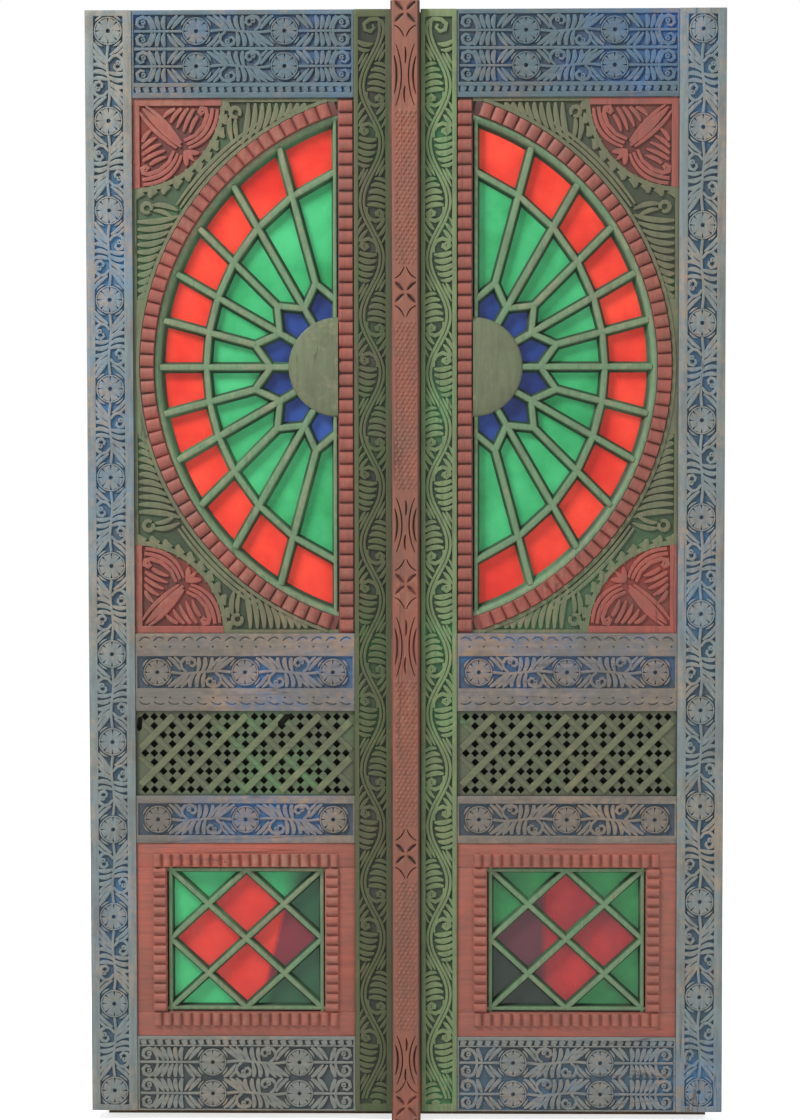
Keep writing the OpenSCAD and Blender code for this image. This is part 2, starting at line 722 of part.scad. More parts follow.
// The carved board round the sun, with its beaded arch
module sun_panel(side) {
    z = [band_z(5), band_z(6)];
    step = bead_pitch / (arch_r - arch_w / 2) * 180 / PI;
    beads = floor(2 * asin((sun_h / 2 - bead_pitch) / arch_r) / step);
    centre = [-arch_shift, sun_z];
    color(green_paint) on_side(side) union() {
        difference() {
            union() {
                block([strip_edge, panel_edge], [sun_front, sun_back], z);
                block([strip_edge, panel_edge + tongue_l], [groove_front, groove_back],
                    z + [-tongue_l, tongue_l]);
            }
            translate([-arch_shift, 0, sun_z]) rotate([90, 0, 0])
                cylinder(h = 4 * frame_d, r = ring_out, center = true, $fn = 180);
            translate([-arch_shift, sun_back + eps, sun_z]) rotate([90, 0, 0])
                cylinder(h = sun_back + eps - lip_back, r = ring_out + tongue_l + fit_gap, $fn = 180);
            slab(sun_front - eps, sun_front + carve_d) sun_ground();
        }
        for (k = [0 : beads - 1]) let (a = (k - (beads - 1) / 2) * step, d = [cos(a), sin(a)])
            bar(centre + (ring_out + bead_in) * d, centre + (arch_r - bead_in) * d,
                bead_profile(bead_w, sun_front));
    }
}

// The sunk grounds of the sun board: a quarter circle and two spandrels at each outer corner
module sun_ground() {
    r = corner_r;
    for (s = [-1, 1]) translate([panel_edge, sun_z + s * sun_h / 2]) mirror([1, 0]) mirror([0, max(s, 0)]) {
        difference() {
            intersection() {
                circle(r = r - ground_in);
                rect([ground_in, r], [ground_in, r]);
            }
            corner_motif();
        }
        difference() {
            union() {
                rect([ground_in, r], [r, 2.1 * r]);
                rect([r, 1.75 * r], [ground_in, r]);
            }
            circle(r = r + ground_in);
            translate([panel_edge + arch_shift, sun_h / 2]) circle(r = arch_r + ground_in, $fn = 180);
            spandrel_leaves();
        }
    }
}

module sun_strip(side) {
    z = [band_z(5), band_z(6)];
    beads = floor(sun_h / bead_pitch);
    color(red_paint) on_side(side) union() {
        block([meeting_half_w, strip_edge], [sun_front, sun_back], z);
        block([meeting_half_w - tongue_l, strip_edge], [groove_front, groove_back],
            z + [-tongue_l, tongue_l]);
        for (k = [0 : beads - 1]) let (h = sun_z + (k - (beads - 1) / 2) * bead_pitch)
            bar([meeting_half_w + bead_in, h], [strip_edge - bead_in, h], bead_profile(bead_w, sun_front));
    }
}

// The glazing bars of the sun: a ring, rays, a ring of straight bars and a star round the boss
module sun_tracery(side) {
    thin = bar_profile(bar_w);
    upright = bar_profile(sash_w);
    rim_r = boss_r + fit_gap;
    beside = [fit_gap, 0];
    color(green_paint) on_side(side) translate([0, 0, sun_z]) trimmed() {
        difference() {
            translate([-arch_shift, 0, 0]) union() {
                ring(ring_out - fit_gap, bar_front - eps);
                ring(ring_out + tongue_l, lip_back);
            }
            block([-2 * arch_r, strip_edge + fit_gap], [2 * leaf_front, 0], [-arch_r, arch_r]);
        }
        for (i = [1 - last_ray : last_ray - 1])
            if (abs(i) % 2 == 1) {
                bar(arc_point(i, ring_mid), star_point(i), thin, bar_past);
                for (s = [-1, 1]) bar(star_point(i + s), star_point(i), thin, bar_past);
            }
            else bar(arc_point(i, ring_mid), hub_point(i, rim_r), thin);
        for (i = [-last_ray : last_ray - 1]) bar(arc_point(i, mid_r), arc_point(i + 1, mid_r), thin);
        for (i = [-last_ray, last_ray])
            bar(hub_point(i, rim_r) + beside, arc_point(i, ring_mid) + beside, upright);
    }
}

module ring(r, front) {
    depth = glass_front + eps - front;
    translate([0, glass_front + eps, 0]) rotate([90, 0, 0]) difference() {
        cylinder(h = depth, r = r, $fn = 180);
        translate([0, 0, -eps]) cylinder(h = depth + 2 * eps, r = ring_in, $fn = 180);
    }
}

module sun_boss(side) {
    rim = glass_front - bar_front;
    quarter = 6;
    dome = [for (k = [0 : quarter]) let (a = 90 * k / quarter) [boss_r * cos(a), rim + boss_dome * sin(a)]];
    color(bare_wood) on_side(side) intersection() {
        translate([strip_edge, glass_front, sun_z]) rotate([90, 0, 0])
            rotate_extrude() polygon(concat([[0, 0], [boss_r, 0]], dome));
        block([strip_edge + fit_gap, strip_edge + 2 * boss_r], [2 * leaf_front, 0],
            [sun_z - arch_r, sun_z + arch_r]);
    }
}

// Panes behind the bars, drawn in from the middle lines of the bars
module panes(outlines, height) {
    translate([0, 0, height]) slab(glass_front, glass_front + pane_t)
        for (pts = outlines) polygon(drawn_in(pts, pane_gap / 2));
}

module sun_red_panes(side) {
    color(red_glass) on_side(side) panes([for (i = [-last_ray : last_ray - 1])
        [arc_point(i, mid_r), arc_point(i, ring_mid), arc_point(i + 1, ring_mid),
            arc_point(i + 1, mid_r)]], sun_z);
}

module sun_green_panes(side) {
    color(green_glass) on_side(side) panes([for (i = [-last_ray : last_ray - 1])
        [star_point(i), arc_point(i, mid_r), arc_point(i + 1, mid_r), star_point(i + 1)]], sun_z);
}

module sun_blue_panes(side) {
    tuck = boss_r - bar_w / 2;
    color(blue_glass) on_side(side) panes([for (i = [1 - last_ray : 2 : last_ray - 1])
        [hub_point(i - 1, tuck), star_point(i - 1), star_point(i), star_point(i + 1),
            hub_point(i + 1, tuck)]], sun_z);
}

// The pierced board, with clusters of diamond holes between raised slats
module lattice(side) {
    x = [meeting_half_w, panel_edge];
    z = [band_z(3), band_z(4)];
    columns = max(4, round(panel_w / cluster_pitch));
    pitch = panel_w / columns;
    step = pitch / 4;
    rows = floor((lattice_h / 2 - hole_w) / (2 * step));
    edge = hole_w;
    centres = [for (j = [-rows : rows], i = [0 : columns]) let (odd = abs(j) % 2)
        if (odd == 0 && i < columns || odd == 1 && i > 0 && i < columns)
        [x[0] + pitch * (i + (odd == 1 ? 0 : 0.5)), band_mid(3) + 2 * step * j]];
    color(green_paint) on_side(side) difference() {
        union() {
            block(x, [lattice_front, lattice_seat], z);
            block(x + [-tongue_l, tongue_l], [groove_front, lattice_seat], z + [-tongue_l, tongue_l]);
            slab(lattice_front - slat_h, lattice_front + eps) intersection() {
                rect(x, z);
                union() for (i = [-2 : columns + 2])
                    translate([x[0] + pitch * i, band_mid(3)]) rotate(45)
                        square([3 * lattice_h, slat_w], center = true);
            }
        }
        for (c = centres) {
            slab(lattice_front - eps, lattice_front + lattice_t / 2) translate(c) diamond();
            for (d = [[step, 0], [-step, 0], [0, step], [0, -step]]) let (p = c + d)
                if (abs(p[1] - band_mid(3)) < lattice_h / 2 - edge)
                    slab(lattice_front - 2 * slat_h, lattice_seat + eps) translate(p) diamond();
        }
    }
}

module diamond() {
    rotate(45) square(hole_w, center = true);
}

module lattice_back(side) {
    color(dark_wood) on_side(side) block([meeting_half_w - tongue_l, panel_edge + tongue_l],
        [lattice_seat, groove_back], [band_z(3) - tongue_l, band_z(4) + tongue_l]);
}

// The lower window: four red members, a sash and its panes
window_x = [meeting_half_w + window_side_w, panel_edge - window_side_w];
window_z = [band_z(1) + window_end_h, band_z(2) - window_end_h];

module window_member(x, z, tongue_x, tongue_z) {
    rebate = (tongue_l + fit_gap) * [-1, 1];
    difference() {
        union() {
            block(x, [window_front, window_back], z);
            block(tongue_x, [groove_front, groove_back], tongue_z);
        }
        block(window_x, [2 * leaf_front, 0], window_z);
        block(window_x + rebate, [lip_back, 0], window_z + rebate);
    }
}

module dentils_level(z) {
    length = window_x[1] - window_x[0] + 2 * dentil_w;
    n = floor(length / dentil_pitch);
    for (k = [0 : n - 1]) let (x = (window_x[0] + window_x[1]) / 2 + (k - (n - 1) / 2) * length / n)
        bar([x, z[0] + bead_in], [x, z[1] - bead_in], bead_profile(tooth_w, window_front));
}

module dentils_upright(x) {
    length = window_z[1] - window_z[0];
    n = floor(length / dentil_pitch);
    for (k = [0 : n - 1]) let (z = (window_z[0] + window_z[1]) / 2 + (k - (n - 1) / 2) * length / n)
        bar([x[0] + bead_in, z], [x[1] - bead_in, z], bead_profile(tooth_w, window_front));
}

module window_head(side) {
    z = [window_z[1], band_z(2)];
    color(red_paint) on_side(side) union() {
        window_member([meeting_half_w, panel_edge], z, [meeting_half_w - tongue_l, panel_edge + tongue_l],
            z + [0, tongue_l]);
        dentils_level([window_z[1], window_z[1] + dentil_w]);
    }
}

module window_sill(side) {
    z = [band_z(1), window_z[0]];
    color(red_paint) on_side(side) union() {
        window_member([meeting_half_w, panel_edge], z, [meeting_half_w - tongue_l, panel_edge + tongue_l],
            z + [-tongue_l, 0]);
        dentils_level([window_z[0] - dentil_w, window_z[0]]);
    }
}

module window_outer_side(side) {
    color(red_paint) on_side(side) union() {
        window_member([window_x[1], panel_edge], window_z, [window_x[1], panel_edge + tongue_l], window_z);
        dentils_upright([window_x[1], window_x[1] + dentil_w]);
    }
}

module window_inner_side(side) {
    color(red_paint) on_side(side) union() {
        window_member([meeting_half_w, window_x[0]], window_z,
            [meeting_half_w - tongue_l, window_x[0]], window_z);
        dentils_upright([window_x[0] - dentil_w, window_x[0]]);
    }
}

// Places on the sash, counted in quarters of the opening from its lower inner corner
sash_mid = [2, 2];
sash_ways = [[0, -1], [1, 0], [0, 1], [-1, 0]];
function sash_point(p) = let (m = sash_w / 2)
    [window_x[0] + m + p[0] / 4 * (window_x[1] - window_x[0] - 2 * m),
     window_z[0] + m + p[1] / 4 * (window_z[1] - window_z[0] - 2 * m)];

module window_sash(side) {
    profile = bar_profile(sash_bar_w);
    color(green_paint) on_side(side) trimmed() {
        sash_frame(-fit_gap, bar_front - eps);
        sash_frame(tongue_l, lip_back);
        bar(sash_point([0, 0]), sash_point([4, 4]), profile);
        bar(sash_point([0, 4]), sash_point([4, 0]), profile);
        for (k = [0 : 3])
            bar(sash_point(sash_mid + 2 * sash_ways[k]),
                sash_point(sash_mid + 2 * sash_ways[(k + 1) % 4]), profile);
    }
}

module sash_frame(out, front) {
    slab(front, glass_front + eps) difference() {
        rect(window_x + out * [-1, 1], window_z + out * [-1, 1]);
        rect(window_x + sash_w * [1, -1], window_z + sash_w * [1, -1]);
    }
}

module window_red_panes(side) {
    color(red_glass) on_side(side) panes([for (d = sash_ways) let (n = turned(d))
        [for (p = [[0, 0], d - n, 2 * d, d + n]) sash_point(sash_mid + p)]], 0);
}

module window_green_panes(side) {
    color(green_glass) on_side(side) panes([for (d = sash_ways, s = [-1, 1])
        let (n = turned(d), mid = 2 * d, corner = mid + 2 * s * n)
        [for (p = concat([d + s * n], s > 0 ? [mid, corner] : [corner, mid])) sash_point(sash_mid + p)]], 0);
}

// The carved cover strip on the left leaf, with flowers and waisted fields
module astragal() {
    half = astragal_w / 2;
    front = leaf_front - astragal_d;
    z = [leaf_lift - astragal_past, leaf_top + astragal_past];
    middle = (z[0] + z[1]) / 2;
    flat = half - astragal_bevel;
    profile = [[-half, leaf_front], [half, leaf_front], [half, front + astragal_bevel], [flat, front],
        [-flat, front], [-half, front + astragal_bevel]];
    color(rose_paint) difference() {
        translate([0, 0, z[0]]) linear_extrude(z[1] - z[0]) polygon(profile);
        slab(front - eps, front + carve_d) intersection() {
            rect([-flat, flat], z + [carve_gap, -carve_gap]);
            for (k = [-2 : 2]) translate([0, middle + k * flower_pitch]) {
                flower(flat);
                for (s = [-1, 1]) if (abs(k + s) < 2 && abs(k) != 1) translate([0, s * waist_in]) waist(flat);
            }
        }
    }
}

// A flower of four cut petals, with a thin bracket cut over and under it
module flower(flat) {
    for (a = [45 : 90 : 315]) rotate(a)
        polygon(leaf([0.9 * flower_r, 0], [0.14 * flower_r, 0], 0.2 * flower_r));
    for (s = [-1, 1], m = [0, 1]) mirror([m, 0])
        polygon(ribbon([[0.75 * flat, s * flower_r], [0.3 * flat, s * 1.22 * flower_r],
            [0.12 * flat, s * 1.7 * flower_r]], cut_w / 2, cut_w / 2));
}

// A field drawn in at its waist: a cut at each side and a thin cut beside it
module waist(flat) {
    for (m = [0, 1]) mirror([m, 0]) {
        polygon([[waist_w + 2 * cut_w, 0], [0.86 * flat, 0.5 * waist_h], [0.86 * flat, -0.5 * waist_h]]);
        polygon(ribbon([[0.6 * flat, waist_h], [waist_w, 0.4 * waist_h], [waist_w, -0.4 * waist_h],
            [0.6 * flat, -waist_h]], cut_w / 2, cut_w / 2));
    }
}

threshold();
head();
jamb(-1);  // left_jamb
jamb(1);  // right_jamb
frame_pegs();
pintles(-1);  // left_pintles
pintles(1);  // right_pintles
astragal();
outer_stile(-1);  // left_outer_stile
meeting_stile(-1);  // left_meeting_stile
top_rail(-1);  // left_top_rail
frieze_rail(-1);  // left_frieze_rail
window_rail(-1);  // left_window_rail
bottom_rail(-1);  // left_bottom_rail
sun_panel(-1);  // left_sun_panel
sun_strip(-1);  // left_sun_strip
sun_tracery(-1);  // left_sun_tracery
sun_boss(-1);  // left_sun_boss
sun_red_panes(-1);  // left_sun_red_panes
sun_green_panes(-1);  // left_sun_green_panes
sun_blue_panes(-1);  // left_sun_blue_panes
lattice(-1);  // left_lattice
lattice_back(-1);  // left_lattice_back
window_head(-1);  // left_window_head
window_sill(-1);  // left_window_sill
window_outer_side(-1);  // left_window_outer_side
window_inner_side(-1);  // left_window_inner_side
window_sash(-1);  // left_window_sash
window_red_panes(-1);  // left_window_red_panes
window_green_panes(-1);  // left_window_green_panes
hinge_plates(-1);  // left_hinge_plates
pegs(-1);  // left_pegs
outer_stile(1);  // right_outer_stile
meeting_stile(1);  // right_meeting_stile
top_rail(1);  // right_top_rail
frieze_rail(1);  // right_frieze_rail
window_rail(1);  // right_window_rail
bottom_rail(1);  // right_bottom_rail
sun_panel(1);  // right_sun_panel
sun_strip(1);  // right_sun_strip
sun_tracery(1);  // right_sun_tracery
sun_boss(1);  // right_sun_boss
sun_red_panes(1);  // right_sun_red_panes
sun_green_panes(1);  // right_sun_green_panes
sun_blue_panes(1);  // right_sun_blue_panes
lattice(1);  // right_lattice
lattice_back(1);  // right_lattice_back
window_head(1);  // right_window_head
window_sill(1);  // right_window_sill
window_outer_side(1);  // right_window_outer_side
window_inner_side(1);  // right_window_inner_side
window_sash(1);  // right_window_sash
window_red_panes(1);  // right_window_red_panes
window_green_panes(1);  // right_window_green_panes
hinge_plates(1);  // right_hinge_plates
pegs(1);  // right_pegs
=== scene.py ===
import math
import random

import bmesh
import bpy
from mathutils import Matrix, Vector


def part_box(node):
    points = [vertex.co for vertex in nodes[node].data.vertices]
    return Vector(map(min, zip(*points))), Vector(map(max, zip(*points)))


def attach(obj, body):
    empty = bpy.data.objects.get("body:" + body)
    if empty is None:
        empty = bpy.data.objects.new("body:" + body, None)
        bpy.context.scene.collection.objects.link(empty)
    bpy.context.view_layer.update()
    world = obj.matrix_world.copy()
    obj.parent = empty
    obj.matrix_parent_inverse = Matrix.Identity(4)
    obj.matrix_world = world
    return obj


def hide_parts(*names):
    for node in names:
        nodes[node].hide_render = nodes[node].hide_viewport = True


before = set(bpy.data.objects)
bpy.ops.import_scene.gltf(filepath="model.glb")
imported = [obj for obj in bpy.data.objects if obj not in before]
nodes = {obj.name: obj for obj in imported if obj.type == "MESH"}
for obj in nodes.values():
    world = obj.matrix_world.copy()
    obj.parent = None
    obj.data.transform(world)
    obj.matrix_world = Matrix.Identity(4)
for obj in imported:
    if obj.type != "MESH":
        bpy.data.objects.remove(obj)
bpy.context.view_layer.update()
sides = {"left": -1, "right": 1}
leafBody = {"left": "left_leaf", "right": "right_leaf"}
metre = 1000.0  # the sizes below are in millimetres
print("frame loaded:", len(nodes), "nodes")


def box(node):
    low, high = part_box(node)
    return low * metre, high * metre


# A leaf between its stiles, its front and top, and how far behind the front its paint ends
stileLow, stileHigh = box("left_outer_stile")
leaf = {"inner": box("right_meeting_stile")[1].x, "outer": box("right_outer_stile")[0].x,
        "front": stileLow.y, "top": stileHigh.z, "paintEnd": 27.0, "bareFrom": 28.5}


# Materials: each paint is darkened in the cuts with painted shade, keeps fresh paint there, and is worn to
# wood on the raised tops
def newMaterial(name):
    mat = bpy.data.materials.new(name)
    mat.use_nodes = True
    tree = mat.node_tree
    return mat, tree, tree.nodes["Principled BSDF"]


def addNode(tree, kind, **settings):
    node = tree.nodes.new(kind)
    for key, value in settings.items():
        setattr(node, key, value)
    return node


def objectCoords(tree, scale=(1, 1, 1)):
    coords = addNode(tree, "ShaderNodeTexCoord")
    mapping = addNode(tree, "ShaderNodeMapping")
    mapping.inputs["Scale"].default_value = scale
    tree.links.new(coords.outputs["Object"], mapping.inputs["Vector"])
    return mapping.outputs["Vector"]


def noise(tree, vector, scale, detail=6, rough=0.6):
    node = addNode(tree, "ShaderNodeTexNoise")
    node.inputs["Scale"].default_value = scale
    node.inputs["Detail"].default_value = detail
    node.inputs["Roughness"].default_value = rough
    tree.links.new(vector, node.inputs["Vector"])
    return node.outputs["Fac"]


def mapRange(tree, value, low, high, outLow=0.0, outHigh=1.0):
    node = addNode(tree, "ShaderNodeMapRange")
    node.inputs["From Min"].default_value = low
    node.inputs["From Max"].default_value = high
    node.inputs["To Min"].default_value = outLow
    node.inputs["To Max"].default_value = outHigh
    tree.links.new(value, node.inputs["Value"])
    return node.outputs["Result"]


def math2(tree, operation, a, b, clamp=True):
    node = addNode(tree, "ShaderNodeMath", operation=operation, use_clamp=clamp)
    for socket, value in zip(node.inputs, (a, b)):
        if isinstance(value, (int, float)):
            socket.default_value = value
        else:
            tree.links.new(value, socket)
    return node.outputs["Value"]


def weighted(tree, a, shareA, b, shareB):
    parts = [math2(tree, "MULTIPLY", value, share) for value, share in ((a, shareA), (b, shareB))]
    return math2(tree, "ADD", *parts)


def mixColor(tree, factor, a, b):
    node = addNode(tree, "ShaderNodeMix", data_type="RGBA")
    sockets = [s for s in node.inputs if s.name in ("Factor", "A", "B") and s.enabled]
    for socket, value in zip(sockets, (factor, a, b)):
        if isinstance(value, (int, float)):
            socket.default_value = value
        elif isinstance(value, tuple):
            socket.default_value = (*value, 1)
        else:
            tree.links.new(value, socket)
    return [s for s in node.outputs if s.enabled][0]


def linear(r, g, b):
    def one(c):
        c = c / 255
        return c / 12.92 if c <= 0.04045 else ((c + 0.055) / 1.055) ** 2.4
    return one(r), one(g), one(b)


def bump(tree, bsdf, height, strength, distance):
    node = addNode(tree, "ShaderNodeBump")
    node.inputs["Strength"].default_value = strength
    node.inputs["Distance"].default_value = distance
    tree.links.new(height, node.inputs["Height"])
    tree.links.new(node.outputs["Normal"], bsdf.inputs["Normal"])


# Worn paint: how fine its noises are, and the colours that show through it
fine = {"grain": 120, "patches": 6.5, "specks": 75, "drift": 2.6, "dirt": 17, "cracks": 24}
under = {"dirt": (84, 74, 64), "grain": (58, 54, 50), "crack": (40, 32, 28), "light": (134, 110, 84),
         "dark": (100, 78, 58), "damp": (74, 78, 60)}


def paintedWood(name, colours, ground, face, wear=0.5, along="z"):
    # the first colour of each paint is the painted shade of its cuts; then come its paint, the bare wood on
    # its tops and its fresh paint
    cutShade, paint, worn, fresh = [linear(*c) for c in colours]
    mat, tree, bsdf = newMaterial(name)
    vector = objectCoords(tree)
    stretch = {"z": (1, 1, 0.1), "x": (0.1, 1, 1)}[along]
    grain = noise(tree, objectCoords(tree, stretch), fine["grain"], 8, 0.65)
    patches = noise(tree, vector, fine["patches"], 8, 0.62)
    specks = noise(tree, vector, fine["specks"], 6, 0.7)
    drift = noise(tree, vector, fine["drift"], 4, 0.55)
    split = addNode(tree, "ShaderNodeSeparateXYZ")
    tree.links.new(vector, split.inputs["Vector"])
    height = mapRange(tree, split.outputs["Y"], ground / metre, face / metre)
    # fresh paint is left in patches, mostly in the cuts
    left = mapRange(tree, weighted(tree, drift, 0.7, patches, 0.5), 0.6, 0.74)
    onTop = math2(tree, "MULTIPLY", left, mapRange(tree, height, 0.25, 1.0, 1.0, 0.35))
    colour = mixColor(tree, onTop, paint, fresh)
    # bare wood shows on the tops
    bare = weighted(tree, patches, 0.7, specks, 0.5)
    bare = mapRange(tree, bare, 0.80 - 0.4 * wear, 1.0 - 0.4 * wear)
    bare = math2(tree, "MULTIPLY", bare, mapRange(tree, height, 0.55, 1.0, 0.1, 1.0))
    colour = mixColor(tree, bare, colour, worn)
    # painted shade: the cuts take a dark colour that stands for the shade in them, with patches of fresh
    # paint
    cutShadeAndFreshPaint = mixColor(tree, math2(tree, "MULTIPLY", left, 0.55), cutShade, fresh)
    colour = mixColor(tree, mapRange(tree, height, 0.0, 0.6, 1.0, 0.0), colour, cutShadeAndFreshPaint)
    dirt = mapRange(tree, noise(tree, vector, fine["dirt"], 8, 0.7), 0.48, 0.72, 0, 0.4)
    colour = mixColor(tree, dirt, colour, linear(*under["dirt"]))
    colour = mixColor(tree, mapRange(tree, grain, 0.42, 0.72, 0, 0.38), colour, linear(*under["grain"]))
    # a thin crack follows the middle value of a stretched noise
    thin = tuple(0.3 * s if s < 1 else s for s in stretch)
    line = noise(tree, objectCoords(tree, thin), fine["cracks"], 2, 0.5)
    line = math2(tree, "SUBTRACT", line, 0.5, False)
    line = mapRange(tree, math2(tree, "ABSOLUTE", line, 0.0), 0.001, 0.005, 0.6, 0.0)
    line = math2(tree, "MULTIPLY", line, mapRange(tree, drift, 0.5, 0.58))
    colour = mixColor(tree, line, colour, linear(*under["crack"]))
    # the backs are left bare
    levels = [(leaf["front"] + leaf[key]) / metre for key in ("paintEnd", "bareFrom")]
    behind = mapRange(tree, split.outputs["Y"], *levels)
    light, dark = linear(*under["light"]), linear(*under["dark"])
    bareBack = mixColor(tree, mapRange(tree, grain, 0.35, 0.7), light, dark)
    colour = mixColor(tree, behind, colour, bareBack)
    tree.links.new(colour, bsdf.inputs["Base Color"])
    tree.links.new(mapRange(tree, patches, 0.3, 0.7, 0.55, 0.85), bsdf.inputs["Roughness"])
    bump(tree, bsdf, weighted(tree, grain, 0.7, specks, 0.3), 0.55, 0.0014)
    return mat


def bareWood(name, light, dark):
    mat, tree, bsdf = newMaterial(name)
    grain = noise(tree, objectCoords(tree, (1, 1, 0.08)), 60, 8, 0.6)
    patches = noise(tree, objectCoords(tree), 6, 6, 0.6)
    colour = mixColor(tree, mapRange(tree, grain, 0.3, 0.7), linear(*light), linear(*dark))
    colour = mixColor(tree, mapRange(tree, patches, 0.42, 0.7, 0, 0.65), colour, linear(*under["damp"]))
    tree.links.new(colour, bsdf.inputs["Base Color"])
    bsdf.inputs["Roughness"].default_value = 0.8
    bump(tree, bsdf, grain, 0.4, 0.001)
    return mat


def dullIron(name):
    mat, tree, bsdf = newMaterial(name)
    rust = noise(tree, objectCoords(tree), 45, 8, 0.7)
    colour = mixColor(tree, mapRange(tree, rust, 0.42, 0.62), linear(58, 55, 53), linear(112, 66, 42))
    tree.links.new(colour, bsdf.inputs["Base Color"])
    tree.links.new(mapRange(tree, rust, 0.4, 0.65, 0.4, 0.85), bsdf.inputs["Roughness"])
    bsdf.inputs["Metallic"].default_value = 0.75
    bump(tree, bsdf, rust, 0.35, 0.0006)
    return mat


def colouredGlass(name, bright, dim, scale=9, shade=None, start=0.0, end=1.0, lean=0.0):
    mat, tree, bsdf = newMaterial(name)
    cloud = noise(tree, objectCoords(tree), scale, 5, 0.55)
    streaks = noise(tree, objectCoords(tree, (1, 1, 0.3)), 38, 4, 0.6)
    colour = mixColor(tree, mapRange(tree, cloud, 0.35, 0.68), linear(*dim), linear(*bright))
    if shade:
        # painted shade: one side of the pane is darkened, along a leaning line
        split = addNode(tree, "ShaderNodeSeparateXYZ")
        tree.links.new(objectCoords(tree), split.inputs["Vector"])
        across = math2(tree, "MULTIPLY", split.outputs["Z"], lean, False)
        across = math2(tree, "ADD", split.outputs["X"], across, False)
        colour = mixColor(tree, mapRange(tree, across, start, end), colour, linear(*shade))
    tree.links.new(colour, bsdf.inputs["Base Color"])
    tree.links.new(mapRange(tree, streaks, 0.35, 0.7, 0.1, 0.32), bsdf.inputs["Roughness"])
    bsdf.inputs["Specular IOR Level"].default_value = 0.3
    bsdf.inputs["Coat Weight"].default_value = 0.1
    bump(tree, bsdf, cloud, 0.12, 0.002)
    return mat


front = leaf["front"]
bluePaint = paintedWood("worn_blue_paint", ((46, 72, 90), (112, 124, 124), (150, 134, 116), (74, 130, 176)),
                        front + 4, front, 0.6)
blueRail = paintedWood("worn_blue_rail_paint", ((38, 60, 80), (78, 98, 106), (130, 116, 102), (48, 114, 190)),
                       front + 6, front + 2, 0.5, "x")
tanRail = paintedWood("worn_tan_rail_paint", ((52, 66, 80), (105, 101, 94), (144, 122, 102), (66, 122, 178)),
                      front + 6, front + 2, 0.6, "x")
footRail = paintedWood("worn_foot_rail_paint",
                       ((54, 64, 68), (116, 120, 114), (152, 134, 114), (82, 120, 150)),
                       front + 6, front + 2, 0.5, "x")
# the left leaf's vine paint is a darker copy of the right's: partly painted shade on that stile, partly its
# own duller tone
vinePaint = {
    "left": paintedWood("worn_vine_paint_left", ((16, 27, 12), (66, 73, 41), (100, 90, 66), (54, 98, 54)),
                        front + 4, front, 0.45),
    "right": paintedWood("worn_vine_paint_right",
                         ((28, 54, 32), (106, 124, 84), (142, 132, 102), (76, 146, 92)),
                         front + 4, front, 0.45),
}
sunPaint = paintedWood("worn_sun_board_paint", ((42, 54, 35), (95, 98, 72), (134, 114, 92), (78, 124, 82)),
                       front + 10, front + 6, 0.5)
# the bars' sloped sides take the dark cut colour as painted shade
barPaint = paintedWood("worn_bar_paint", ((24, 54, 32), (98, 128, 94), (146, 136, 110), (88, 140, 98)),
                       front + 17, front + 9, 0.55)
redPaint = paintedWood("worn_red_paint", ((92, 44, 38), (150, 86, 72), (154, 118, 100), (176, 82, 66)),
                       front + 8, front + 1, 0.45, "x")
rosePaint = paintedWood("worn_rose_paint", ((40, 20, 15), (130, 80, 63), (148, 108, 86), (148, 76, 64)),
                        front - 17.4, front - 20.4, 0.4)
latticePaint = paintedWood("worn_lattice_paint", ((22, 28, 18), (76, 82, 61), (112, 106, 82), (72, 112, 74)),
                           front + 13, front + 4, 0.5, "x")
cornerPaint = paintedWood("worn_corner_paint", ((82, 34, 28), (139, 74, 64), (148, 106, 88), (178, 76, 64)),
                          front + 9.2, front + 5.7, 0.45)
beadPaint = paintedWood("worn_bead_paint", ((62, 30, 26), (136, 73, 61), (150, 110, 92), (162, 78, 68)),
                        front + 6, front, 0.4)
slatPaint = paintedWood("worn_slat_paint", ((36, 43, 30), (93, 98, 71), (132, 122, 94), (80, 128, 82)),
                        front + 7, front + 4, 0.5, "x")
bossLow, bossHigh = box("right_sun_boss")
# the dome's rim, lowest on the boss, takes the dark cut colour as painted shade
bossWood = paintedWood("olive_boss_wood", ((64, 76, 50), (95, 104, 76), (146, 136, 108), (70, 92, 60)),
                       bossHigh.y, bossLow.y, 0.5)
frameWood = bareWood("plain_frame_wood", (136, 112, 86), (98, 76, 56))
# the lattice's backing board is near black: painted shade seen through the lattice holes
shadeBacking = bareWood("dark_backing_wood", (20, 18, 16), (11, 10, 9))
ironDull = dullIron("dull_iron")
redGlass = colouredGlass("red_glass", (246, 74, 54), (212, 46, 34))
greenGlass = colouredGlass("green_glass", (74, 190, 124), (44, 150, 88))
blueGlass = colouredGlass("blue_glass", (50, 84, 162), (26, 46, 108))
# each leaf's window glass has painted shade over one side of its panes
windowRed = {
    "left": colouredGlass("left_window_red_glass", (222, 56, 42), (196, 42, 36), 9,
                          (116, 38, 50), -0.333, -0.323, -0.25),
    "right": colouredGlass("right_window_red_glass", (176, 46, 46), (134, 40, 46), 12,
                           (88, 44, 54), 0.266, 0.252),
}
windowGreen = {
    "left": colouredGlass("left_window_green_glass", (70, 196, 124), (50, 164, 98), 9,
                          (34, 84, 54), -0.355, -0.31, -0.25),
    "right": colouredGlass("right_window_green_glass", (50, 146, 80), (38, 110, 62), 12,
                           (36, 48, 38), 0.56, 0.50, 1.0),
}

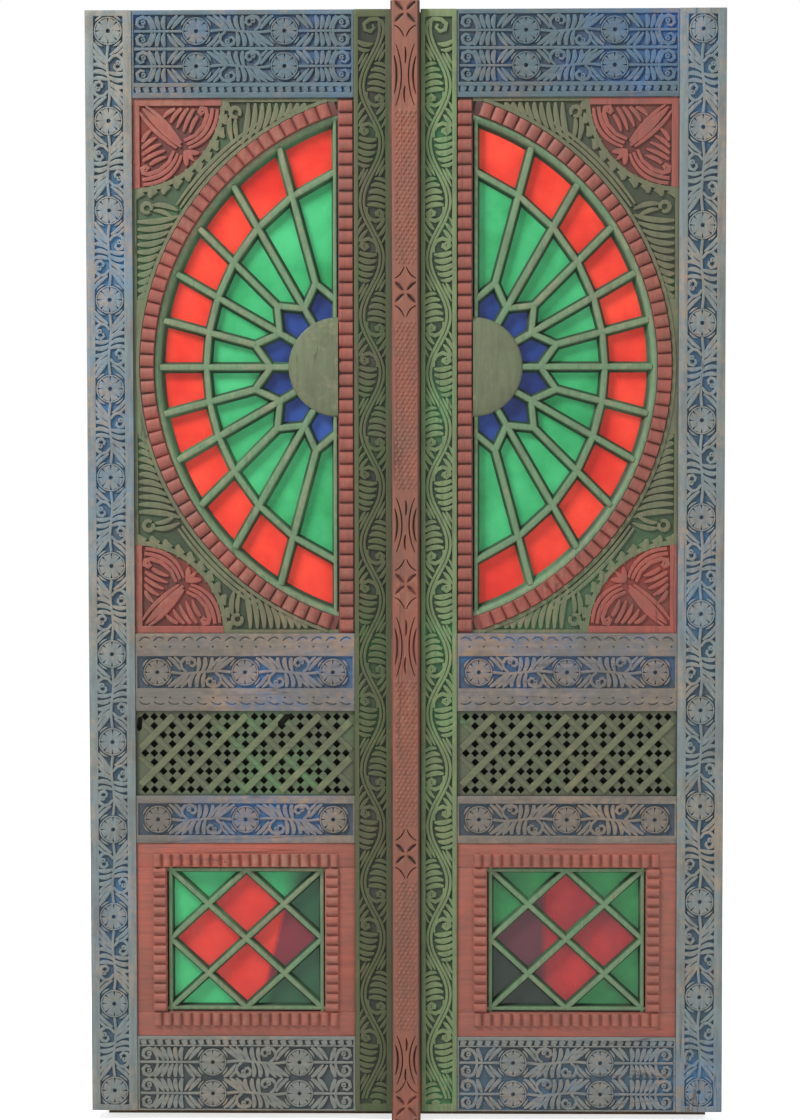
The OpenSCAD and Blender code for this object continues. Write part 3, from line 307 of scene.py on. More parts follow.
finishes = {
    "outer_stile": bluePaint, "meeting_stile": vinePaint, "top_rail": blueRail, "frieze_rail": tanRail,
    "window_rail": tanRail, "bottom_rail": footRail, "sun_panel": sunPaint, "sun_strip": redPaint,
    "sun_tracery": barPaint, "sun_boss": bossWood, "sun_red_panes": redGlass, "sun_green_panes": greenGlass,
    "sun_blue_panes": blueGlass, "lattice": latticePaint, "lattice_back": shadeBacking, "window_head": redPaint,
    "window_sill": redPaint, "window_outer_side": redPaint, "window_inner_side": redPaint,
    "window_sash": barPaint, "window_red_panes": windowRed, "window_green_panes": windowGreen,
    "hinge_plates": ironDull, "pegs": frameWood, "pintles": ironDull, "jamb": frameWood,
    "threshold": frameWood, "head": frameWood, "frame_pegs": frameWood, "astragal": rosePaint,
}
for name, obj in nodes.items():
    plain = name.replace("left_", "").replace("right_", "")
    finish = finishes[plain]
    if isinstance(finish, dict):
        finish = finish[name.split("_")[0]]
    obj.data.materials.clear()
    obj.data.materials.append(finish)
print("finishes set")

# Carving: a stroke is a ridge with sloped sides, drawn along a path on a face and closed underneath
carve = {"depth": 4.0, "sink": 0.5, "steps": 6, "crown": 0.7, "edge": 7.0, "full": 1.14}


def bend(a, c, b, steps=None):
    count = steps or carve["steps"]
    points = []
    for k in range(count + 1):
        t = k / count
        points.append(Vector(a) * (1 - t) ** 2 + Vector(c) * 2 * t * (1 - t) + Vector(b) * t * t)
    return points


def arc(centre, radius, start, end, steps=10):
    angles = [math.radians(start + (end - start) * k / steps) for k in range(steps + 1)]
    return [Vector((centre[0] + radius * math.cos(a), centre[1] + radius * math.sin(a))) for a in angles]


def swell(widths, t):
    if isinstance(widths, (int, float)):
        return widths
    first, middle, last = widths
    return first * (1 - t) * (1 - 2 * t) + middle * 4 * t * (1 - t) + last * t * (2 * t - 1)


def ridgeSection(ground, face, crown=carve["crown"]):
    return [(-1, ground + carve["sink"]), (-0.8, face + crown), (0, face), (0.8, face + crown),
            (1, ground + carve["sink"])]


def flatSection(ground, face):
    return [(-1, ground + carve["sink"]), (-0.93, face + 0.5), (0, face), (0.93, face + 0.5),
            (1, ground + carve["sink"])]


def bandSection(ground, face):
    return [(-1, ground + carve["sink"]), (-1, face + 0.7), (-0.88, face), (0.88, face), (1, face + 0.7),
            (1, ground + carve["sink"])]


def addStroke(bm, place, path, widths, section, closed=False):
    count = len(path)
    rings = []
    for k, point in enumerate(path):
        before = path[k - 1] if closed or k else point
        after = path[(k + 1) % count] if closed or k < count - 1 else point
        along = after - before
        across = Vector((-along.y, along.x)).normalized()
        half = swell(widths, k / (count - 1))
        ring = []
        for share, y in section:
            x, z = place(point + across * half * share)
            ring.append(bm.verts.new((x, y, z)))
        rings.append(ring)
    size = len(section)
    for k in range(count if closed else count - 1):
        first, second = rings[k], rings[(k + 1) % count]
        for j in range(size):
            bm.faces.new((first[j], first[(j + 1) % size], second[(j + 1) % size], second[j]))
    if not closed:
        bm.faces.new(rings[0])
        bm.faces.new(rings[-1])


def addPlate(bm, outline, front, back):
    rows = [[bm.verts.new((x, y, z)) for x, z in outline] for y in (front, back)]
    count = len(outline)
    bm.faces.new(rows[0])
    bm.faces.new(rows[1])
    for k in range(count):
        bm.faces.new((rows[0][k], rows[0][(k + 1) % count], rows[1][(k + 1) % count], rows[1][k]))


def carveStrokes(bm, place, strokes, ground, face):
    section = ridgeSection(ground, face)
    for path, widths in strokes:
        full = widths if isinstance(widths, tuple) else (widths,) * 3
        addStroke(bm, place, path, tuple(w * carve["full"] for w in full), section)


def cutOut(board, cutter):
    pick(board)
    cut = board.modifiers.new("cut", "BOOLEAN")
    cut.object = cutter
    cut.use_self = True
    bpy.ops.object.modifier_apply(modifier="cut")
    bpy.data.objects.remove(cutter)


def chiselCuts(board, side, cuts, face, depth):
    # V cuts along the paths, taken out of the board
    bm = bmesh.new()
    section = [(-1.1, face - 0.4), (0, face + depth), (1.1, face - 0.4)]
    for path, widths in cuts:
        addStroke(bm, placing(side), path, widths, section)
    cutOut(board, meshObject("chisel", bm))


def placing(side, origin=(0, 0), angle=0.0, flip=1):
    # maps a motif's u and v to x and z, mirrored onto the left leaf
    c, s = math.cos(math.radians(angle)), math.sin(math.radians(angle))

    def place(p):
        u, v = p.x, p.y * flip
        return side * (origin[0] + c * u - s * v), origin[1] + s * u + c * v
    return place


# Motifs of the carved bands: a rosette's rim and petals are in shares of its radius, its leaves lie round it
rose = {"rim": 0.965, "rimHalf": 0.055, "petals": 8, "reach": (0.15, 0.34, 0.52, 0.7, 0.87),
        "petalHalf": (0.07, 0.225, 0.3), "leafOut": 4.0, "leafHalf": (0.6, 2.4, 0.6), "leafCrown": 0.6}


def rosette(bm, place, r, ground, face):
    section = flatSection(ground, face)
    addStroke(bm, place, arc((0, 0), rose["rim"] * r, 0, 350, 35), rose["rimHalf"] * r, section, True)
    for k in range(rose["petals"]):
        a = math.radians(360 / rose["petals"] * (k + 0.5))
        way = Vector((math.cos(a), math.sin(a)))
        path = [way * r * t for t in rose["reach"]]
        addStroke(bm, place, path, tuple(share * r for share in rose["petalHalf"]), section)
    section = ridgeSection(ground, face, rose["leafCrown"])
    for turn in (0, 90, 180, 270):
        lean = (turn + 18, turn + 54) if turn % 180 == 0 else (turn + 36, turn + 72)
        addStroke(bm, place, arc((0, 0), r + rose["leafOut"], *lean, 6), rose["leafHalf"], section)


def eyeRing(u, v):
    return arc((u, v), 3.1, 0, 340, 9), 2.1


def turnedCopy(strokes, length):
    middle = Vector((length / 2, 0))
    return [([2 * middle - p for p in path], widths) for path, widths in strokes]


def leafStrokes(rows, scale=1.0, steps=None):
    # each row has the foot, belly and tip of a leaf, and its half widths there
    return [(bend(*[(u * scale, v) for u, v in row[:3]], steps), row[3]) for row in rows]


# Half of the scrolls between two rosettes, drawn for a set distance between these
scroll = {
    "pitch": 160.0,
    "curl": ((54, 0), (45, 8), (43, 17), (49, 25), (59, 27), (68, 23), (70, 16), (65, 11), (59, 13)),
    "eye": (57, 19),
    "leaves": (
        ((73, 1), (79, 15), (75, 28), (2.0, 4.2, 2.6)),
        ((81, 1), (91, 13), (87, 28), (2.0, 4.6, 2.8)),
        ((90, 1), (103, 11), (100, 28), (2.0, 4.8, 2.6)),
        ((99, 1), (114, 8), (114, 27), (1.8, 4.2, 2.2)),
        ((20, 28), (32, 22), (43, 3), (2.0, 3.8, 1.4)),
        ((31, 29), (39, 23), (44, 14), (1.8, 2.8, 1.0)),
        ((20, -27), (34, -20), (50, -3), (2.0, 4.2, 1.6)),
        ((31, -29), (45, -20), (58, -4), (1.8, 3.8, 1.4)),
        ((43, -29), (54, -19), (64, -5), (1.6, 2.8, 1.2)),
    ),
}


def scrollUnit(length, r):
    k = length / scroll["pitch"]
    u, v = scroll["eye"]
    half = [([Vector((p * k, q)) for p, q in scroll["curl"]], (2.4, 3.6, 2.2)), eyeRing(u * k, v)]
    half += leafStrokes(scroll["leaves"], k)
    room = length - 2 * r - 2
    stem = [Vector((r + 1 + room * t / 8, -2.5 * math.sin(math.pi * t / 4))) for t in range(9)]
    return half + turnedCopy(half, length) + [(stem, 2.6)]


def endUnit(room, r):
    # half a scroll from a rosette to the end of its band: leaves, a fan and a curl on each side of the stem
    strokes = [([Vector((r + 1, 0)), Vector(((r + room) / 2, 0)), Vector((room - 1, 0))], 2.4)]
    for s in (-1, 1):
        strokes.append((bend((r - 3, 28 * s), (r + 7, 22 * s), (r + 20, 4 * s)), (2.2, 4.2, 1.6)))
        if room < r + 40:
            continue
        strokes.append((bend((r + 9, 29 * s), (r + 17, 22 * s), (r + 28, 5 * s)), (2.0, 4.0, 1.6)))
        curl = [(-17, -13), (-15, -3), (-10, 7), (0, 11), (9, 7), (11, -2), (5, -8), (-3, -6)]
        strokes.append(([Vector((room - 17 + u, (15 + v) * s)) for u, v in curl], (2.4, 3.8, 2.2)))
        strokes.append(eyeRing(room - 18, 16 * s))
        count = int((room - r - 64) / 8.5)
        for k in range(count):
            base, tip = r + 33 + 8.5 * k, r + 24 + (room - r - 46) * (k + 0.6) / count
            strokes.append((bend((base, 3 * s), (base + 6, 15 * s), (tip, 28 * s)), (1.8, 4.6, 2.6)))
    return strokes


def rosetteBand(bm, side, places, line, upright, ends, r, ground, face):
    angle = 90 if upright else 0

    def spot(p):
        return (line, p) if upright else (p, line)
    for p in places:
        rosette(bm, placing(side, spot(p), angle), r, ground, face)
    for k in range(len(places) - 1):
        unit = scrollUnit(places[k + 1] - places[k], r)
        carveStrokes(bm, placing(side, spot(places[k]), angle, (-1) ** k), unit, ground, face)
    for p, end, turn in ((places[0], ends[0], 180), (places[-1], ends[1], 0)):
        room = abs(end - p)
        if room > r + 14:
            carveStrokes(bm, placing(side, spot(p), angle + turn), endUnit(room, r), ground, face)


# Boards: a block cut at the borders of its fields, with the fields pressed in
def deselectAll():
    if bpy.context.object and bpy.context.object.mode != "OBJECT":
        bpy.ops.object.mode_set(mode="OBJECT")
    bpy.ops.object.select_all(action="DESELECT")


def pick(obj):
    deselectAll()
    obj.select_set(True)
    bpy.context.view_layer.objects.active = obj


def makeBoard(name, low, high, fields=(), depth=0):
    deselectAll()
    low, high = Vector(low), Vector(high)
    bpy.ops.mesh.primitive_cube_add(size=1, location=(low + high) / 2)
    board = bpy.context.object
    board.name = name
    board.scale = high - low
    bpy.ops.object.transform_apply(location=True, rotation=False, scale=True)
    bpy.ops.object.mode_set(mode="EDIT")
    cuts = {(axis, f[i]) for f in fields for axis, i in ((0, 0), (0, 1), (2, 2), (2, 3))}
    for axis, value in sorted(cuts):
        bpy.ops.mesh.select_all(action="SELECT")
        spot, normal = [0, 0, 0], [0, 0, 0]
        spot[axis], normal[axis] = value, 1
        bpy.ops.mesh.bisect(plane_co=spot, plane_no=normal)
    bpy.ops.mesh.select_all(action="DESELECT")
    bpy.ops.mesh.select_mode(type="FACE")
    bm = bmesh.from_edit_mesh(board.data)
    for face in bm.faces:
        c = face.calc_center_median()
        inside = any(f[0] < c.x < f[1] and f[2] < c.z < f[3] for f in fields)
        face.select_set(face.normal.y < -0.9 and inside)
    bmesh.update_edit_mesh(board.data)
    if fields:
        bpy.ops.mesh.extrude_region_move(TRANSFORM_OT_translate={"value": (0, depth, 0)})
    bpy.ops.object.mode_set(mode="OBJECT")
    soft = board.modifiers.new("soft_edges", "BEVEL")
    soft.width = 1.0
    soft.segments = 2
    soft.limit_method = "ANGLE"
    bpy.ops.object.modifier_apply(modifier="soft_edges")
    return board


def meshObject(name, bm):
    bmesh.ops.recalc_face_normals(bm, faces=bm.faces)
    mesh = bpy.data.meshes.new(name)
    bm.to_mesh(mesh)
    bm.free()
    obj = bpy.data.objects.new(name, mesh)
    bpy.context.scene.collection.objects.link(obj)
    return obj


def joinInto(target, *others):
    pick(target)
    for obj in others:
        obj.select_set(True)
    bpy.ops.object.join()
    return target


def finishPiece(piece, body, finish, slot, *replaced):
    piece.data.transform(Matrix.Scale(1 / metre, 4))
    pick(piece)
    bpy.ops.object.shade_smooth_by_angle(angle=math.radians(38))
    piece.data.materials.clear()
    piece.data.materials.append(finish)
    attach(piece, body)
    if replaced:
        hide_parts(*replaced)


def spread(a, b, n):
    return [a + (b - a) * k / (n - 1) for k in range(n)]


def evenly(middle, step, count):
    return [middle + (k - (count - 1) / 2) * step for k in range(count)]


# Outer stiles: a column of rosettes with scrolls; "back" is how far a board ends before the solid's back
stile = {"half": 27.0, "rosette": 25.5, "end": 38.0, "count": {"left": 13, "right": 12}, "back": 0.3}


def makeOuterStile(sideName):
    side = sides[sideName]
    low, high = box(sideName + "_outer_stile")
    middle = abs(low.x + high.x) / 2
    field = sorted((side * (middle - stile["half"]), side * (middle + stile["half"])))
    foot, top = low.z + stile["end"], high.z - stile["end"]
    field += [foot - stile["half"], top + stile["half"]]
    board = makeBoard(sideName + "_outer_stile_carved", low, high - Vector((0, stile["back"], 0)), [field],
                      carve["depth"])
    bm = bmesh.new()
    places = spread(foot, top, stile["count"][sideName])
    rosetteBand(bm, side, places, middle, True, field[2:], stile["rosette"], low.y + carve["depth"], low.y)
    piece = joinInto(board, meshObject("carving", bm))
    finishPiece(piece, leafBody[sideName], bluePaint, "blue_paint", sideName + "_outer_stile")


# Meeting stiles: a running vine with fans
vine = {
    "half": 25.0, "wave": 211.0, "margin": 14.0, "rise": 18.5, "count": 11, "firstDrop": 193.0, "headTo": 70,
    "eye": ((42, -9), (31, -10), (21, -4), (16, 7), (20, 18), (30, 21), (36, 14), (31, 7), (25, 9)),
    "leaves": (
        ((45, -9), (50, 6), (41, 24), (2.0, 4.9, 3.0)),
        ((56, -8), (63, 8), (52, 25), (2.0, 5.4, 3.2)),
        ((68, -6), (76, 10), (64, 26), (2.0, 5.6, 3.2)),
        ((81, -2), (87, 13), (76, 26), (1.8, 5.0, 2.8)),
        ((93, 4), (96, 16), (88, 26), (1.4, 4.0, 2.0)),
        ((-22, -24), (-10, -19), (0, -8), (1.4, 4.0, 1.4)),
        ((-10, -26), (4, -22), (12, -12), (1.4, 3.8, 1.4)),
        ((4, -27), (16, -25), (24, -18), (1.2, 2.6, 1.0)),
    ),
    "head": ((66, -21), (54, -23), (42, -20), (36, -10), (37, 4), (45, 14), (56, 12), (59, 2), (52, -5),
             (46, -1)),
}


def vineWave():
    # two stems side by side, and a fan with a curl in each bend
    length, rise = vine["wave"], vine["rise"]
    stems = []
    for offset in (-3.4, 3.4):
        turns = [k / 16 for k in range(17)]
        path = [Vector((length * t, -rise * math.sin(2 * math.pi * t) + offset)) for t in turns]
        stems.append((path, 2.7))
    half = [([Vector(p) for p in vine["eye"]], (2.4, 4.0, 2.4)), eyeRing(28, 14)]
    half += leafStrokes(vine["leaves"])
    for away, first, last in ((10.5, 99, 132), (17.5, 98, 119)):
        places = [first + (last - first) * j / 6 for j in range(7)]
        path = [Vector((u, away - rise * math.sin(2 * math.pi * u / length))) for u in places]
        half.append((path, (1.4, 3.2, 1.0)))
    return stems + half + turnedCopy(half, length)


# The left leaf's lip, which closes the slit between the leaves, measured from the back
slit = {"front": 12.0, "back": 0.5, "gap": 0.15, "overlap": 1.0}


def makeMeetingStile(sideName):
    side = sides[sideName]
    low, high = box(sideName + "_meeting_stile")
    edge = max(abs(low.x), abs(high.x))
    inner = box("right_meeting_stile")[0].x
    middle = (edge + inner) / 2
    field = sorted((side * (middle - vine["half"]), side * (middle + vine["half"])))
    field += [low.z + vine["margin"], high.z - vine["margin"]]
    board = makeBoard(sideName + "_meeting_stile_carved", low, high - Vector((0, stile["back"], 0)), [field],
                      carve["depth"])
    bm = bmesh.new()
    if side < 0:
        x0, x1 = high.x - slit["overlap"], inner - slit["gap"]
        lip = [(x0, low.z), (x1, low.z), (x1, high.z), (x0, high.z)]
        addPlate(bm, lip, high.y - slit["front"], high.y - slit["back"])
    top = high.z - vine["firstDrop"] + vine["wave"]
    wave = vineWave()
    limits = (field[2] + 1, field[3] - 1)
    for k in range(vine["count"]):
        start = top - k * vine["wave"]
        place = placing(side, (middle, start), -90)
        kept = []
        for path, widths in wave:
            inside = [p for p in path if limits[0] < start - p.x < limits[1]]
            if len(inside) > 3 and (k or inside[-1].x > vine["headTo"]):
                kept.append((inside, widths))
        if k == 0:
            kept.append(([Vector(p) for p in vine["head"]], (3.2, 4.2, 2.6)))
        carveStrokes(bm, place, kept, low.y + carve["depth"], low.y)
    piece = joinInto(board, meshObject("carving", bm))
    finishPiece(piece, leafBody[sideName], vinePaint[sideName], "green_paint", sideName + "_meeting_stile")


# Rails: rows of rosettes with scrolls, and toothed strips
rails = {
    "top_rail": {"rows": (0.36, 0.76), "shift": 4, "notches": (0.095,), "count": 2},
    "frieze_rail": {"rows": (0.5,), "shift": 0, "notches": (), "count": 3, "waves": 13.0, "dots": 25.0},
    "window_rail": {"rows": (0.5,), "shift": 0, "notches": (), "count": 3},
    "bottom_rail": {"rows": (0.23, 0.65), "shift": -18, "notches": (0.915,), "count": 2},
}
rail = {
    "margin": 4.0, "half": 30.0, "rosette": 25.0, "pairPitch": 163.0, "tripleIn": 41.0, "notchPitch": 15.0,
    "notchHalf": 5.0, "waveCount": 15, "cut": 2.6, "stemFrom": 62, "lean": 1.6, "tooth": (4.6, 5.2, 5.8),
}


def makeRail(sideName, name, plan):
    side = sides[sideName]
    stileEdge, panelEdge = leaf["inner"], leaf["outer"]
    nodeLow, nodeHigh = box(f"{sideName}_{name}")
    x0, x1 = sorted((side * stileEdge, side * panelEdge))
    low = Vector((x0, nodeLow.y, nodeLow.z))
    high = Vector((x1, nodeHigh.y - stile["back"], nodeHigh.z))
    height = high.z - low.z
    inner, outer = stileEdge + rail["margin"], panelEdge - rail["margin"]
    field = sorted((side * inner, side * outer))
    lines = [low.z + share * height for share in plan["rows"]]
    toothed = [low.z + share * height for share in plan["notches"]]
    fields = [field + [lines[0] - rail["half"], lines[-1] + rail["half"]]]
    fields += [field + [z - rail["notchHalf"], z + rail["notchHalf"]] for z in toothed]
    board = makeBoard(f"{sideName}_{name}_carved", low, high, fields, carve["depth"])
    if "waves" in plan:
        cuts = []
        for z, s in ((low.z, 1), (high.z, -1)):
            for x in evenly((inner + outer) / 2, (outer - inner) / rail["waveCount"], rail["waveCount"]):
                wave = bend((-10, 2), (-1, 2 - 8 * s), (10, 2 + 3 * s))
                cuts.append(([p + Vector((x, z + s * plan["waves"])) for p in wave], (0.6, 3.0, 0.6)))
                dot = Vector((x + 6, z + s * plan["dots"]))
                cuts.append(([dot + Vector((u, 0)) for u in (-2.2, 0, 2.2)], (0.6, 2.2, 0.6)))
        chiselCuts(board, side, cuts, low.y, rail["cut"])
    middle = (stileEdge + panelEdge) / 2 + plan["shift"]
    if plan["count"] == 2:
        places = [middle - rail["pairPitch"] / 2, middle + rail["pairPitch"] / 2]
    else:
        places = [stileEdge + rail["tripleIn"], middle, panelEdge - rail["tripleIn"]]
    bm = bmesh.new()
    ground = low.y + carve["depth"]
    if len(lines) == 2 and lines[1] - lines[0] > rail["stemFrom"]:
        stem = [Vector((inner + 1, sum(lines) / 2)), Vector((outer - 1, sum(lines) / 2))]
        carveStrokes(bm, placing(side), [(stem, 3.0)], ground, low.y)
    for z in lines:
        rosetteBand(bm, side, places, z, False, (inner, outer), rail["rosette"], ground, low.y)
    teeth = int((outer - inner) / rail["notchPitch"])
    section = bandSection(ground, low.y + 0.4)
    for z in toothed:
        for x in evenly((inner + outer) / 2, (outer - inner) / teeth, teeth):
            path = [Vector((x + s * rail["lean"], z + s * rail["notchHalf"])) for s in (-1, 1)]
            addStroke(bm, placing(side), path, rail["tooth"], section)
    piece = joinInto(board, meshObject("carving", bm))
    finishPiece(piece, leafBody[sideName], finishes[name], "blue_paint", f"{sideName}_{name}")


for sideName in sides:
    makeOuterStile(sideName)
    makeMeetingStile(sideName)
    for name, plan in rails.items():
        makeRail(sideName, name, plan)
print("stiles and rails carved")

# Sun board: a beaded arch with red quarter circles and green leaves in its corners
sun = {"centreIn": 20.0, "ringOut": 486.0, "ringIn": 468.0, "archOut": 514.0, "middle": 390.0, "strip": 125.0,
       "edge": 505.0, "corner": 166.0, "tip": 160.0, "notch": 125.0, "boss": 92.0, "rays": 6, "plainTo": 14.0,
       "border": 3.5, "rim": 3.6, "rimTo": 71.4, "beadsTo": 72.8, "beadSpan": 144.6, "beadPitch": 24.0,
       "stems": (527, 535.5), "teeth": 11}
sunLow, sunHigh = box("right_sun_panel")
sun["z"] = (sunLow.z + sunHigh.z) / 2
sun["half"] = box("right_top_rail")[0].z - sun["z"]
sun["front"] = leaf["front"] + 6
sun["ground"] = sun["front"] + carve["depth"]
sun["back"] = sunHigh.y
sun["centre"] = (-sun["centreIn"], sun["z"])


def archOver(p):
    # height of the arch's border over the corner's p edge
    run = sun["edge"] + sun["centreIn"] - p
    return sun["half"] - math.sqrt((sun["archOut"] + carve["edge"]) ** 2 - run * run)


def archBeside(q):
    rise = sun["half"] - q
    return sun["edge"] + sun["centreIn"] - math.sqrt((sun["archOut"] + carve["edge"]) ** 2 - rise * rise)


def mixed(a, b, t):
    return Vector(a) * (1 - t) + Vector(b) * t


# Red quarter circles: a pod on the diagonal, and a fan on each side of it that ends in a curl
fan = {
    "pod": ((20, 18), (54, 52), (90, 89), (1.6, 8.6, 2.4)),
    "stem": ((25, 14), (58, 34), (91, 82), (1.8, 4.2, 2.4)),
    "lobes": (((58, 35), (80, 19)), ((71, 45), (92, 18)), ((83, 54), (104, 18)), ((95, 61), (115, 19)),
              ((107, 63), (122, 32))),
    "curl": ((96, 77), (116, 68), (132, 50), (139, 30), (136, 19), (128, 17), (124, 25), (129, 31)),
    "eye": (130.5, 24),
    "rims": (((101, 84), (144, 70), (149, 18), (3.0, 4.2, 3.4)),
             ((104, 91), (155, 76), (158, 20), (2.6, 3.8, 3.2))),
    "side": ((97, 97), (112, 100), (124, 100), (2.4, 5.4, 1.6)),
    "end": ((96, 96), (105, 105), (115, 115), (2.0, 4.6, 1.0)),
}


def cornerMotif():
    half = leafStrokes([fan["stem"]])
    for foot, tip in fan["lobes"]:
        belly = mixed(foot, tip, 0.5) + Vector((-3, -4))
        half.append((bend(foot, belly, tip), (1.8, 4.3, 2.8)))
    half += [([Vector(p) for p in fan["curl"]], (3.0, 4.4, 3.0)), eyeRing(*fan["eye"])]
    half += leafStrokes(fan["rims"], steps=9) + leafStrokes([fan["side"]])
    strokes = leafStrokes([fan["pod"]])
    for path, widths in half:
        strokes.append((path, widths))
        strokes.append(([Vector((p.y, p.x)) for p in path], widths))
    return strokes + leafStrokes([fan["end"]])


# Green leaves over the arch and beside it, with a curl at their head
spandrel = {
    "over": {"curl": ((191, 26), 9, 60, 400), "first": 212, "pitch": 13, "count": 9,
             "head": (((182, 34), (176, 52), (186, 82), (2.0, 5.0, 1.6)),
                      ((192, 38), (188, 52), (196, 80), (2.0, 4.4, 1.6)))},
    "beside": {"curl": ((26, 201), 9, 50, 390), "first": 222, "pitch": 14, "count": 11,
               "head": (((36, 196), (58, 192), (84, 206), (2.0, 5.0, 1.6)),
                        ((38, 206), (56, 204), (76, 220), (2.0, 4.4, 1.6)))},
}


def spandrelLeaves():
    strokes = []
    rim = sun["corner"]
    # a line of leaning teeth round the quarter circle
    for k in range(sun["teeth"]):
        a = math.radians(90 * (k + 0.5) / sun["teeth"])
        way = Vector((math.cos(a), math.sin(a)))
        across = Vector((-way.y, way.x))
        foot, belly = way * (rim + 4) - across * 6, way * (rim + 9) + across * 6
        strokes.append((bend(foot, belly, way * (rim + 19) + across * 7), (9.0, 7.4, 2.4)))
    # stems along the arch
    for radius in sun["stems"]:
        centre = (sun["edge"] + sun["centreIn"], sun["half"])
        strokes.append((arc(centre, radius, 180 + 34, 180 + 57, 10), (2.2, 3.8, 2.2)))
    for name, row in spandrel.items():
        strokes.append((arc(*row["curl"]), (3.0, 4.2, 3.0)))
        strokes += leafStrokes(row["head"])
        for k in range(row["count"]):
            p = row["first"] + row["pitch"] * k
            if name == "over":
                foot, tip = Vector((p - 9, archOver(p - 9) - 1)), Vector((p + 3, 9))
                belly, widths = mixed(foot, tip, 0.5) + Vector((7, 2)), (2.2, 5.4, 2.4)
            else:
                foot, tip = Vector((archBeside(p - 6) - 1, p - 6)), Vector((8, p + 4))
                belly, widths = mixed(foot, tip, 0.5) + Vector((2, 8)), (2.2, 5.6, 2.6)
            strokes.append((bend(foot, belly, tip), widths))
    return strokes


def makeBead(length, width, height):
    # a block whose long top edges are rounded over, modelled once and copied
    deselectAll()
    bpy.ops.mesh.primitive_cube_add(size=1, location=(0, -height / 2 + 0.5, 0))
    bead = bpy.context.object
    bead.scale = (length, height + 1, width)
    bpy.ops.object.transform_apply(location=True, rotation=False, scale=True)
    for chosen, size, steps in (("long", 0.42 * width, 4), ("short", 0.22 * height, 1)):
        bpy.ops.object.mode_set(mode="EDIT")
        bpy.ops.mesh.select_all(action="DESELECT")
        bpy.ops.mesh.select_mode(type="EDGE")
        bm = bmesh.from_edit_mesh(bead.data)
        for edge in bm.edges:
            ends = [v.co for v in edge.verts]
            raised = all(c.y < -0.5 * height for c in ends)
            runs = abs(ends[0].x - ends[1].x) > 0.5 * length
            edge.select_set(raised and runs == (chosen == "long") and (runs or abs(ends[0].x) > 0.4 * length))
        bmesh.update_edit_mesh(bead.data)
        bpy.ops.mesh.bevel(offset=size, segments=steps, affect="EDGES")
        bpy.ops.object.mode_set(mode="OBJECT")
    mesh = bead.data
    bpy.data.objects.remove(bead)
    return mesh


def copyBead(bm, mesh, x, y, z, angle):
    start = len(bm.verts)
    bm.from_mesh(mesh)
    bm.verts.ensure_lookup_table()
    turn = Matrix.Translation((x, y, z)) @ Matrix.Rotation(-angle, 4, "Y")
    for vert in bm.verts[start:]:
        vert.co = turn @ vert.co


archBead = makeBead(25.5, 23.2, 6.0)
stripBead = makeBead(26.0, 22.6, 6.0)
toothBead = makeBead(24.0, 15.2, 6.0)


def cornerPlace(side, up):
    # maps a place measured from a corner of the sun board to x and z
    def place(p):
        return side * (sun["edge"] - p.x), sun["z"] + up * (sun["half"] - p.y)
    return place


